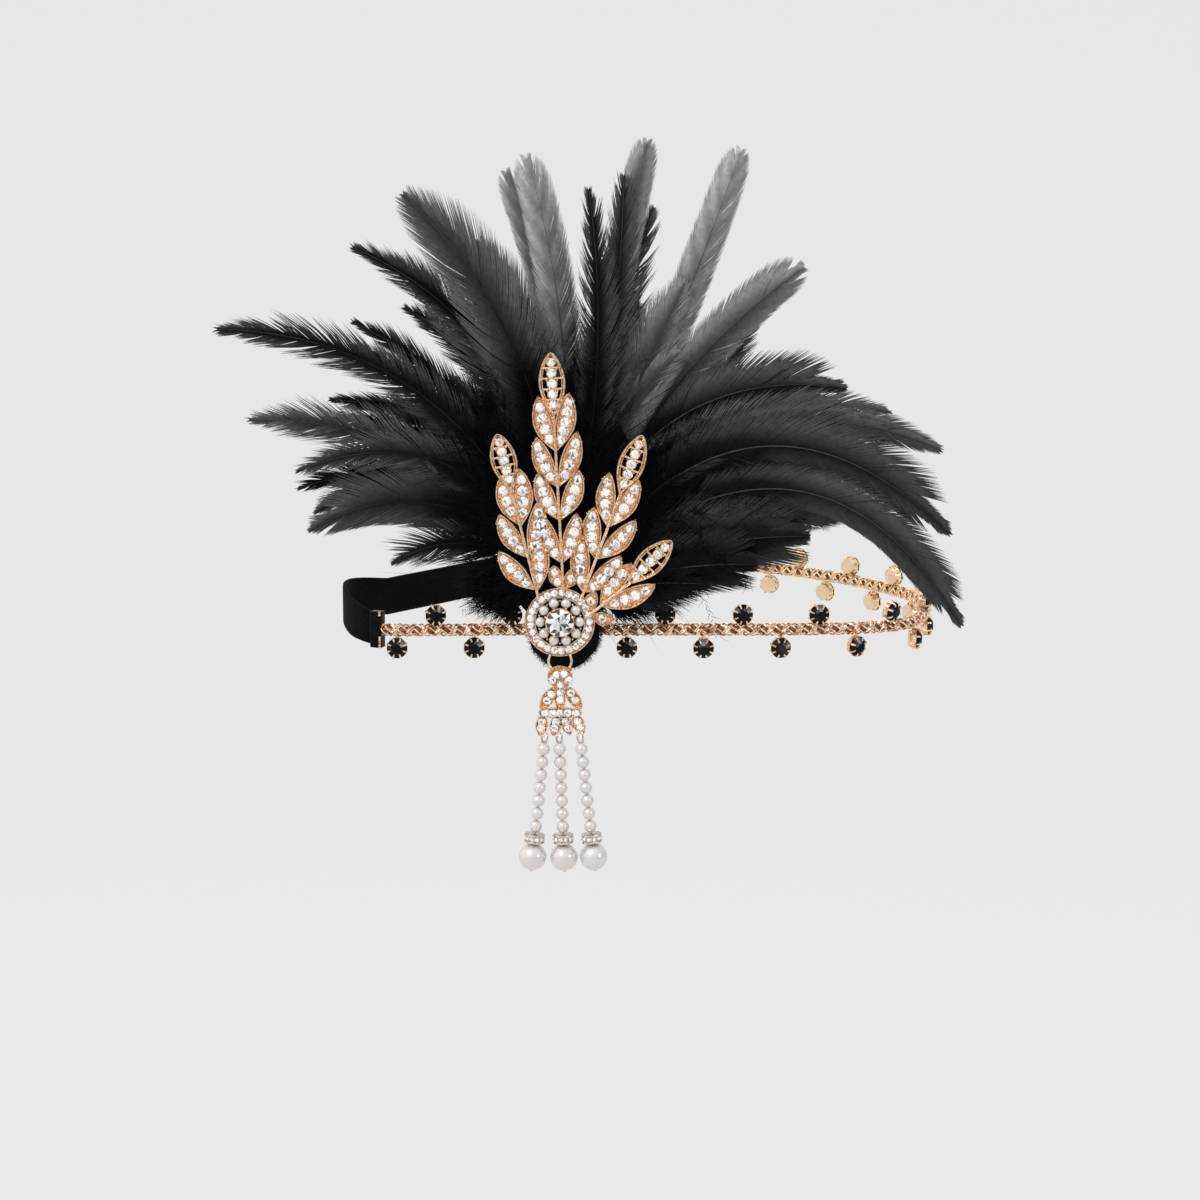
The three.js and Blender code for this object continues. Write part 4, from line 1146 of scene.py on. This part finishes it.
# A branch: start right and up, heading, length, then its leaves: foot, splay, length, stones.
# The first leaf ends the branch and is broad and open.
branches = [
    (0.015, 0.14, 93, 1, [
        (0.72, 0, 1.17, 5), (0.58, 14, 1.02, 4), (0.58, -15, 1.06, 5), (0.43, 20, 0.96, 4),
        (0.43, -22, 1.04, 4),
        (0.29, 21, 0.93, 4), (0.29, -24, 0.96, 4), (0.11, 20, 0.97, 4), (0.11, -19, 0.93, 4),
        (0.0, 19, 0.46, 2), (0.0, -28, 0.42, 1)]),
    (-0.092, 0.115, 103.8, 0.705, [
        (0.64, 0, 1.06, 5), (0.43, 8, 0.92, 3), (0.42, -12, 1.04, 4), (0.23, 20, 0.93, 4),
        (0.22, -23, 1.05, 4),
        (0.03, 30, 0.96, 4), (0.02, -12, 1.02, 4)]),
    (0.096, 0.118, 69.7, 0.72, [
        (0.61, 0, 1.18, 5), (0.42, 18, 0.97, 4), (0.42, -12, 1.01, 4), (0.22, 22, 0.93, 4),
        (0.22, -25, 0.99, 4),
        (0.01, 20, 0.97, 4), (0.01, -25, 0.94, 4)]),
    (0.13, 0.035, 39, 0.46, [
        (0.42, 6, 1.14, 5), (0.11, 14, 0.95, 3), (0.11, -17, 1.05, 4), (0.0, 40, 0.41, 1),
        (0.0, -53, 0.41, 1)]),
]


def cutBlank(radius, height, sides=10, table=0.6, sunk=0.35):
    # a round stone: pavilion below, girdle, a crown of facets and a flat table
    stone = started(cylinder, vertices=sides, radius=radius, depth=sunk, location=(0, 0, -sunk / 2))
    pickFaces(lambda centre, normal: normal.z > 0.9)
    push(0, 0, height)
    grow(table, table, 1, (0, 0, height))
    bpy.ops.transform.rotate(value=math.pi / sides, orient_axis="Z", center_override=(0, 0, height))
    pickFaces(lambda centre, normal: normal.z < -0.9)
    grow(0.6, 0.6, 1, (0, 0, -sunk))
    faceOut()
    bpy.ops.mesh.quads_convert_to_tris()
    return finished(stone, paint=2)


def leafSheet(vertices=28):
    # a circle pulled out to a leaf from 0 to leafLength, pointed at its foot and rounder at its tip
    leaf = placed(circle, vertices=vertices, radius=1, fill_type="NGON")
    for vertex in leaf.data.vertices:
        t = (1 - math.cos(math.atan2(vertex.co.y, vertex.co.x))) / 2
        wide = max(math.sin(math.pi * t ** 1.1), 0) ** (0.95 - 0.32 * t) * brooch["leafWidth"] / 2
        side = 0 if abs(vertex.co.y) < 1e-6 else math.copysign(1, vertex.co.y)
        vertex.co = (t * brooch["leafLength"], side * wide, 0)
    return leaf


def wireAlong(path, halfWide, low, high, closed=True, sides=8):
    # a rounded wire laid flat along path, from low to high
    path = np.array(path, float)
    run = np.roll(path, -1, axis=0) - np.roll(path, 1, axis=0)
    if not closed:
        run[0], run[-1] = path[1] - path[0], path[-1] - path[-2]
    run /= np.linalg.norm(run, axis=1, keepdims=True) + 1e-9
    aside = np.stack([-run[:, 1], run[:, 0]], axis=1)
    turn = (np.arange(sides) + 0.5) * 2 * math.pi / sides
    across = np.sign(np.cos(turn)) * np.abs(np.cos(turn)) ** 0.7 * halfWide
    up = (low + high) / 2 + np.sign(np.sin(turn)) * np.abs(np.sin(turn)) ** 0.7 * (high - low) / 2
    points = np.zeros((len(path), sides, 3))
    points[:, :, :2] = path[:, None, :] + aside[:, None, :] * across[None, :, None]
    points[:, :, 2] = up
    corners = []
    count = len(path) if closed else len(path) - 1
    for i in range(count):
        for j in range(sides):
            a, b = i * sides + j, i * sides + (j + 1) % sides
            c, d = ((i + 1) % len(path)) * sides + j, ((i + 1) % len(path)) * sides + (j + 1) % sides
            corners += [(a, d, b), (a, c, d)]
    if not closed:
        last = (len(path) - 1) * sides
        corners += [(0, j, j + 1) for j in range(1, sides - 1)]
        corners += [(last, last + j + 1, last + j) for j in range(1, sides - 1)]
    return blankOf(points.reshape(-1, 3), corners, smooth=True)


def leafEdge(margin, count=30):
    # the leaf's outline drawn in by margin
    length, half = brooch["leafLength"], brooch["leafWidth"] / 2
    edge = []
    for i in range(count):
        angle = 2 * math.pi * i / count
        t = (1 - math.cos(angle)) / 2
        wide = max(math.sin(math.pi * t ** 1.1), 0) ** (0.95 - 0.32 * t) * (half - margin)
        edge.append((1.7 * margin + t * (length - 2.9 * margin),
                     math.copysign(wide, math.sin(angle)) if 0 < t < 1 else 0))
    return edge


def leafBlank():
    # a plate with a sunk grained field inside two wires
    leaf = leafSheet()
    editStart(leaf)
    pickAll()
    push(0, 0, 0.62)
    grow(0.92, 0.8, 1, (brooch["leafLength"] * 0.5, 0, 0.62))
    push(0, 0, 0.1)
    faceOut()
    plate = finished(leaf, smooth=True)
    # the sunk field takes the grained gold, painted darker as shade
    plate["paint"] = np.where(plate["points"][:, 2][plate["corners"]].min(axis=1) > 0.3, 1, 0)
    return merged(plate, wireAlong(leafEdge(0.24), 0.25, 0.0, 1.25),
                  wireAlong(leafEdge(0.72), 0.14, 0.4, 1.05))


def openLeafBlank():
    # the same two wires round an open middle
    return merged(wireAlong(leafEdge(0.24), 0.24, 0.0, 1.25), wireAlong(leafEdge(0.66), 0.15, 0.1, 1.0))


def colletBlank(radius, height, wall=0.16, sides=16):
    # a small round setting with a raised edge
    collet = started(cylinder, vertices=sides, radius=radius, depth=height, location=(0, 0, height / 2))
    pickFaces(lambda centre, normal: normal.z > 0.9)
    inset(0.05)
    shift(0, 0, 0.08)
    inset(wall)
    inset(0.05)
    shift(0, 0, -0.2)
    return finished(collet, smooth=True)


def fittedLeaf(blank, length, half, bow):
    # stretches a leaf blank to its own length and width, and bows it to one side
    share = np.clip(blank["points"][:, 0] / brooch["leafLength"], 0, 1)
    points = blank["points"].copy()
    points[:, 0] = share * length
    points[:, 1] = points[:, 1] * half / (brooch["leafWidth"] / 2) + bow * 4 * share * (1 - share)
    return {**blank, "points": points}


def broochParts():
    leafShape, openShape = leafBlank(), openLeafBlank()
    stone = cutBlank(1.0, 0.5)
    collet = colletBlank(1.0, 0.9, 0.1)
    bead = beadBlank(0.3)
    bar = started(cube, size=1)
    growAll(0.55, 1, 0.8)
    editEnd()
    applied(bar, "BEVEL", width=0.1, segments=2)
    bar = blankFrom(bar, smooth=True)
    parts = []
    for startU, startV, heading, long, leaves in branches:
        startU, startV, length = startU * brooch["reach"], startV * brooch["reach"], long * brooch["reach"]
        turn = math.radians(heading)
        # stem: a rounded wire along the branch
        stemLength = length * leaves[0][0] + 2.4
        stem = started(cylinder, vertices=10, radius=0.45, depth=stemLength,
                       rotation=(0, math.pi / 2, 0), location=(stemLength / 2 - 1.2, 0, 1.75))
        pickFaces(lambda centre, normal: normal.x > 0.9)
        inset(0.12)
        push(0.25, 0, 0)
        pickFaces(lambda centre, normal: abs(normal.x) < 0.5)
        grow(1, 1, 1.35, (0, 0, 1.5))
        parts.append(moved(finished(stem, smooth=True), at(startU, startV, 0) @ spun(turn)))
        for number, (foot, splay, leafLong, stones) in enumerate(leaves):
            broad = number == 0
            side = -1 if splay < 0 else 1
            aside = 0 if broad else side * 0.15
            leafLength = leafLong * brooch["leafLength"]
            width = brooch["leafWidth"] * brooch["spread"] * (1.3 if broad else min(1,
                    0.45 + 0.55 * leafLength / brooch["leafLength"]))
            bow = 0 if broad else side * width * 0.14
            place = at(startU + math.cos(turn) * length * foot - math.sin(turn) * aside,
                       startV + math.sin(turn) * length * foot + math.cos(turn) * aside, 0.5) \
                @ spun(turn + math.radians(splay))
            radius = min(brooch["pave"], width * 0.62) / 2
            pitch = min(brooch["pavePitch"], leafLength * 0.8 / stones)
            top = 0.8
            if broad:
                parts.append(moved(fittedLeaf(openShape, leafLength, width / 2, 0), place))
                radius *= 0.9
            else:
                parts.append(moved(fittedLeaf(leafShape, leafLength, width / 2, bow), place))
            for i in range(stones):
                along = leafLength * 0.52 + (i - (stones - 1) / 2) * pitch
                share = along / leafLength
                y = bow * 4 * share * (1 - share)
                size = radius * min(1, 0.74 + 1.1 * share * (1 - share))
                stonePlace = place @ at(along, y, top)
                parts.append(moved(stone, stonePlace @ scaled(size, size, 1) @ spun(chance.uniform(0, 1))))
                if broad:
                    parts.append(moved(collet, place @ at(along, y, 0) @ scaled(size * 1.1, size * 1.1, 1)))
                if broad and i < stones - 1:
                    reach = width * 3.3 * share * (1 - share)
                    parts.append(moved(bar, place @ at(along + pitch / 2, 0, 0.55) @ scaled(1, reach, 1)))
                for u, v in ((0.5, 0.62), (0.5, -0.62)):
                    parts.append(moved(bead, place @ at(along + u * pitch, y + v * size * 1.1, top + 0.1)))
                    parts.append(moved(bead, place @ at(along + u * pitch - pitch * 0.18,
                            y + v * size * 1.75, top)))
    return parts


def ringOfCopies(blank, count, radius, z, start=0.0):
    return [moved(blank, spun(start + 2 * math.pi * i / count) @ at(radius, 0, z)) for i in range(count)]


medal = {"radius": 10, "stones": 25, "stoneRing": 8.35, "stoneSize": 1.1, "pearls": 10,
         "pearlRing": 5.6, "pearlSize": 1.5, "centre": 4.1, "cut": 3.95, "cutHeight": 1.25, "cutRise": 3.2}


def medallionParts():
    disc = started(cylinder, vertices=64, radius=medal["radius"], depth=1.6, location=(0, 0, 0.8))
    pickFaces(lambda centre, normal: normal.z > 0.9)
    for thickness, rise in ((0.16, 0.3), (0.2, 0.0), (0.1, -0.45), (2.25, 0.0), (0.1, 0.5), (0.22, 0.0),
                            (0.12, -1.2), (2.6, 0.0)):
        inset(thickness)
        if rise:
            shift(0, 0, rise)
    parts = [finished(disc, smooth=True)]
    middle = parts[0]["points"][parts[0]["corners"]].mean(axis=1)
    reach = np.hypot(middle[:, 0], middle[:, 1])
    # the sunk faces round the stones take the grained gold, painted darker as shade
    parts[0]["paint"] = np.where((reach < 9.5) & (middle[:, 2] > 1.0) & (middle[:, 2] < 1.75), 1, 0)
    parts[0]["paint"][(reach < 7) & (middle[:, 2] > 0.1) & (middle[:, 2] < 0.9)] = 4
    stone = cutBlank(medal["stoneSize"], 0.5)
    bead = beadBlank(0.26)
    parts += ringOfCopies(stone, medal["stones"], medal["stoneRing"], 1.78)
    step = math.pi / medal["stones"]
    for reachOut in (medal["stoneRing"] - 0.85, medal["stoneRing"] + 0.85):
        parts += ringOfCopies(bead, medal["stones"], reachOut, 1.72, step)
    # pearls with a gold fleck between them
    ball = started(sphere, segments=14, ring_count=8, radius=medal["pearlSize"])
    growAll(1, 1, 0.85)
    parts += ringOfCopies(finished(ball, smooth=True, paint=3), medal["pearls"], medal["pearlRing"], 1.35)
    parts += ringOfCopies(beadBlank(0.36), medal["pearls"], medal["pearlRing"] + 0.55, 1.55,
                          math.pi / medal["pearls"])
    # chaton: a tapered collet with six claws
    collet = started(cylinder, vertices=32, radius=medal["centre"] * 0.86, depth=2.4, location=(0, 0, 1.6))
    pickFaces(lambda centre, normal: normal.z > 0.9)
    grow(1.17, 1.17, 1, (0, 0, 2.8))
    inset(0.1)
    shift(0, 0, 0.12)
    inset(0.22)
    inset(0.08)
    shift(0, 0, -0.5)
    parts.append(finished(collet, smooth=True))
    parts += ringOfCopies(moved(beadBlank(0.5, 8), scaled(1.3, 0.8, 1.0)), 8, medal["centre"] + 0.02,
                          3.25, math.pi / 8)
    return parts


def eyeBlank(hole=0.75, wall=0.55, depth=1.2):
    # a small ring whose hole runs along X
    loop = started(torus, major_radius=hole + wall / 2, minor_radius=wall / 2, major_segments=20,
                   minor_segments=8, rotation=(0, math.pi / 2, 0))
    growAll(depth / wall, 1, 1)
    return finished(loop, smooth=True)


broochBlanks = [moved(part, toFront) for part in broochParts() + medallionParts()]
broochBlanks.append(moved(eyeBlank(), at(brooch["x"], brooch["eyeY"], brooch["eyeZ"])))
pieceFrom("broochBody", broochBlanks, [roseGold, grainAndShadeGold, clearStone, pearl, blackFelt], "headband",
          ["brooch"],
          paintedGlints=True, split=32)
centreBlank = moved(brilliantBlank(medal["cut"], medal["cutHeight"]), toFront @ at(0, 0, medal["cutRise"]))
pieceFrom("centreStone", [centreBlank], [brightStone], "headband", ["centre_stone"],
          paintedGlints=True)
print("brooch ready")

# Felt pad with a fuzzy edge

pad = {"x": -20.8, "z": 1.1, "width": 21.4, "height": 24, "thickness": 2.2, "frontY": -64.0,
       "hairs": 900, "hairLength": 1.6}


def padPiece():
    felt = started(cylinder, vertices=56, radius=0.5, depth=pad["thickness"],
                   rotation=(math.pi / 2, 0, 0),
                   location=(pad["x"], pad["frontY"] + pad["thickness"] / 2, pad["z"]))
    growAll(pad["width"] * 0.97, 1, pad["height"] * 0.97, (pad["x"], pad["frontY"], pad["z"]))
    pickFaces(lambda centre, normal: abs(normal.y) > 0.9)
    inset(0.5)
    inset(1.5)
    pickAll()
    bpy.ops.mesh.quads_convert_to_tris()
    editEnd()
    applied(felt, "BEVEL", width=0.4, segments=3, limit_method="ANGLE", angle_limit=0.7)
    body = blankFrom(felt, smooth=True)
    points = body["points"]
    edge = points - (pad["x"], 0, pad["z"])
    edge[:, 1] = 0
    wave = 1 + 0.018 * np.sin(np.arctan2(edge[:, 2], edge[:, 0]) * 9) * (np.linalg.norm(edge, axis=1) > 9)
    body["points"] = points + edge * (wave - 1)[:, None]
    count = pad["hairs"]
    turn = chance.uniform(0, 2 * math.pi, count)
    outward = np.stack([np.cos(turn), np.zeros(count), np.sin(turn)], axis=1)
    foot = np.array((pad["x"], 0, pad["z"])) + outward * (pad["width"] * 0.48, 1, pad["height"] * 0.48)
    foot[:, 1] = pad["frontY"] + chance.uniform(0.1, pad["thickness"] - 0.1, count)
    face = np.tile((0.0, -1.0, 0.0), (count, 1))
    aside = np.cross(outward, face)
    hairPoints, hairCorners, _ = barbs(
        softBarb,
        foot, outward, aside, face, pad["hairLength"] * chance.uniform(0.4, 1.1, count),
        chance.normal(0, 0.6, count),
        chance.normal(0, 0.6, count), 0.0, chance.normal(0, 0.3, count), (0.07, 0.05, 0.03), 0, 0)
    hairs = blankOf(hairPoints, hairCorners, smooth=True)
    return pieceFrom("feltPad", [body, hairs], [blackFelt], "headband", ["backing_pad"], split=60)


padPiece()
print("pad ready")


# Jump ring and drop

drop = {
    "x": -22, "ringY": -66.8, "ringZ": -7.65, "ringRadius": 3.25, "ringWire": 0.8,
    "capBackY": -67.8, "capTopZ": -9.3, "capLength": 20, "capThickness": 1.2, "stoneSize": 1.2,
    "eyeDown": 0.965, "eyeReach": 1.2, "pearl": 3.7, "pearlPitch": 3.8, "pearls": 7,
    "rondelle": 6.0, "rondelleHeight": 2.6, "large": 8.0, "gap": 0.3, "wire": 0.34,
}
capStones = [(-0.05, 0.11), (0.058, 0.09), (-0.11, 0.185), (0.122, 0.185), (0.008, 0.25), (0.005, 0.36),
             (0.005, 0.47),
             (-0.127, 0.39), (-0.188, 0.485), (0.155, 0.37), (0.215, 0.47), (-0.21, 0.66),
             (-0.105, 0.665), (0.0, 0.66),
             (0.11, 0.66), (0.226, 0.66), (-0.26, 0.79), (-0.275, 0.89), (-0.06, 0.79), (-0.083, 0.885),
             (0.083, 0.785),
             (0.116, 0.88), (0.245, 0.78), (0.292, 0.87)]
# the cap's cells: across, down, half length, half width in mm, turn, how pointed
capCells = [(0.0, 0.135, 3.5, 3.25, 0, 0), (0.0, 0.445, 3.3, 1.5, -90, 0),
            (-0.175, 0.455, 3.7, 1.65, -122, 0.25),
            (0.195, 0.445, 3.7, 1.65, -56, 0.25), (0.0, 0.66, 6.1, 1.5, 0, 0),
            (-0.265, 0.845, 3.0, 1.65, -98, 0.5),
            (-0.068, 0.845, 3.0, 1.55, -102, 0.5), (0.097, 0.84, 3.0, 1.55, -70, 0.5),
            (0.27, 0.83, 3.0, 1.65, -66, 0.5)]
strandRows = [(-0.215, -0.4), (-0.015, 0.05), (0.28, 0.48)]


def jumpRing():
    ring = placed(torus, major_radius=drop["ringRadius"], minor_radius=drop["ringWire"] / 2,
                  major_segments=56, minor_segments=12, rotation=(math.pi / 2, 0, 0),
                  location=(drop["x"], drop["ringY"], drop["ringZ"]))
    return pieceFrom("jumpRing", [blankFrom(ring, smooth=True)], [roseGold], "ring", ["jump_ring"])


def cellParts(u, v, halfLong, halfWide, turn, pointed=0.0):
    # one rounded cell of the cap: a thin floor and a wire rim
    path = []
    for k in range(22):
        angle = 2 * math.pi * k / 22
        narrow = 1 - pointed * max(math.cos(angle), 0) ** 2
        path.append((halfLong * math.cos(angle), halfWide * math.sin(angle) * narrow))
    floor = started(circle, vertices=22, radius=1, fill_type="NGON")
    growAll(halfLong * 0.95, halfWide * 0.95, 1)
    push(0, 0, 0.55)
    faceOut()
    editEnd()
    place = at(u, v, 0) @ spun(math.radians(turn))
    # the floor takes the grained gold, painted darker as shade inside the rim
    return [moved(blankFrom(floor, smooth=True, paint=1), place),
            moved(wireAlong(path, 0.2, 0.0, 1.15), place)]


def capParts():
    size = drop["capLength"]
    parts = []
    for u, down, halfLong, halfWide, turn, pointed in capCells:
        parts += cellParts(u * size, -down * size, halfLong, halfWide, turn, pointed)
    stone = cutBlank(drop["stoneSize"], 0.45)
    bead = beadBlank(0.24)
    for u, v in capStones:
        place = at(u * size, -v * size, 0)
        parts.append(moved(stone, place @ at(0, 0, 0.85) @ spun(chance.uniform(0, 1))))
        parts += [moved(b, place) for b in ringOfCopies(bead, 4, drop["stoneSize"] * 1.08, 0.95, 0.78)]
    for top, _ in strandRows:
        tab = started(torus, major_radius=0.8, minor_radius=0.22, major_segments=20, minor_segments=8)
        growAll(1, 1, 1.5)
        parts.append(moved(finished(tab, smooth=True), at(top * size, -drop["eyeDown"] * size, 0.6)))
    return parts


jumpRing()
capToFront = axesAt(Vector((1, 0, 0)), Vector((0, 0, 1)), Vector((0, -1, 0)),
                    Vector((drop["x"], drop["capBackY"], drop["capTopZ"])))
capBlanks = [moved(part, capToFront) for part in capParts()]
capBlanks.append(moved(eyeBlank(), at(drop["x"], drop["ringY"], drop["ringZ"] - drop["ringRadius"])))
pieceFrom("dropCap", capBlanks, [roseGold, grainAndShadeGold, clearStone], "drop", ["drop_cap"],
          paintedGlints=True, split=32)
print("drop cap ready")


def pearlBlank(radius, segments, rings):
    # a ball with a dimple where the wire goes in
    ball = started(sphere, segments=segments, ring_count=rings, radius=radius, level="VERT")
    mesh = bmesh.from_edit_mesh(ball.data)
    bpy.ops.mesh.select_all(action="DESELECT")
    for vertex in mesh.verts:
        vertex.select_set(abs(vertex.co.z) > radius * 0.99)
    bmesh.update_edit_mesh(ball.data)
    grow(1, 1, 0.9)
    return finished(ball, smooth=True)


def wireLoop(width, height, wire):
    loop = placed(torus, major_radius=1, minor_radius=wire, major_segments=18, minor_segments=6,
                  rotation=(math.pi / 2, 0, 0))
    blank = blankFrom(loop, smooth=True)
    radial = blank["points"] * (1, 0, 1)
    reach = np.linalg.norm(radial, axis=1, keepdims=True)
    unit = radial / reach
    blank["points"] = unit * (width, 0, height) + unit * (reach - 1) + blank["points"] * (0, 1, 0)
    return blank


def rod(radius, start, end, sides=8):
    wire = started(cylinder, vertices=sides, radius=radius, depth=abs(end - start),
                   location=(0, 0, (start + end) / 2))
    pickFaces(lambda centre, normal: abs(normal.z) > 0.9)
    inset(radius * 0.3)
    return finished(wire, smooth=True)


def rondelleBlanks():
    # two pale metal plates with a row of small stones between them
    flange = started(cylinder, vertices=24, radius=drop["rondelle"] / 2, depth=0.5)
    pickFaces(lambda centre, normal: abs(normal.z) > 0.9)
    inset(0.35, 0.08)
    editEnd()
    applied(flange, "BEVEL", width=0.1, segments=2, limit_method="ANGLE")
    flange = blankFrom(flange, smooth=True)
    half = drop["rondelleHeight"] / 2
    parts = [moved(flange, at(0, 0, half - 0.33)), moved(flange, at(0, 0, 0.33 - half))]
    parts.append(rod(drop["rondelle"] * 0.4, -half + 0.3, half - 0.3, 20))
    stone = moved(cutBlank(0.78, 0.4), spun(math.pi / 2, "Y"))
    parts += ringOfCopies(repainted(stone, 1), 10, drop["rondelle"] * 0.43, 0)
    parts += ringOfCopies(beadBlank(0.26), 10, drop["rondelle"] * 0.47, 0.55, math.pi / 10)
    parts += ringOfCopies(beadBlank(0.26), 10, drop["rondelle"] * 0.47, -0.55, math.pi / 10)
    return parts


def strandPieces():
    beadsRun = drop["pearlPitch"] * drop["pearls"]
    rondelleDown = beadsRun + drop["rondelleHeight"] / 2 + drop["gap"]
    largeDown = rondelleDown + drop["rondelleHeight"] / 2 + drop["gap"] + drop["large"] / 2
    footDown = largeDown + drop["large"] / 2 + drop["gap"]
    eyeZ = drop["capTopZ"] - drop["eyeDown"] * drop["capLength"]
    headZ = -2 * drop["eyeReach"] - 0.2
    small = pearlBlank(drop["pearl"] / 2, 18, 12)
    large = pearlBlank(drop["large"] / 2, 40, 24)
    rondelle = rondelleBlanks()
    for index, (top, foot) in enumerate(strandRows):
        lean = math.atan2((foot - top) * drop["capLength"], largeDown + 2.4)
        hang = at(drop["x"] + top * drop["capLength"], drop["capBackY"] - drop["capThickness"] / 2, eyeZ) \
            @ spun(-lean, "Y")
        parts = [moved(moved(small, spun(chance.uniform(0, 6))),
                       hang @ at(0, 0, headZ - (i + 0.5) * drop["pearlPitch"]))
                       for i in range(drop["pearls"])]
        loop = wireLoop(0.8, 1.9, drop["wire"] * 0.8)
        metal = [moved(loop, hang @ at(0, 0, -1.25)),
                 moved(rod(drop["wire"], headZ + 0.6, headZ - footDown + 0.5), hang),
                 moved(beadBlank(0.5, 10), hang @ at(0, 0, headZ + 0.25))]
        metal.append(moved(beadBlank(0.62, 12), hang @ at(0, 0, headZ - footDown + 0.42)))
        pieceFrom(f"pearlStrand{index + 1}", [repainted(m, 1) for m in metal] + parts, [pearl, silver],
                  "drop",
                  [f"pearl_strand_{index + 1}"])
        pieceFrom(f"rondelle{index + 1}", [moved(p, hang @ at(0, 0, headZ - rondelleDown)) for p in rondelle],
                  [paleSilver, clearStone], "drop", [f"rondelle_{index + 1}"], paintedGlints=True,
                  split=32)
        pieceFrom(f"largePearl{index + 1}", [moved(large, hang @ at(0, 0, headZ - largeDown))], [pearl],
                  "drop",
                  [f"large_pearl_{index + 1}"])


paleSilver = goldMaterial("paleSilver", {
    "colour": (0.72, 0.66, 0.60), "dark": (0.50, 0.42, 0.36), "light": (0.88, 0.84, 0.80),
    "metallic": 1.0, "rough": 0.24, "scale": 900, "grain": 2500, "bump": 0.1, "beaded": False})
strandPieces()
print("drop ready")
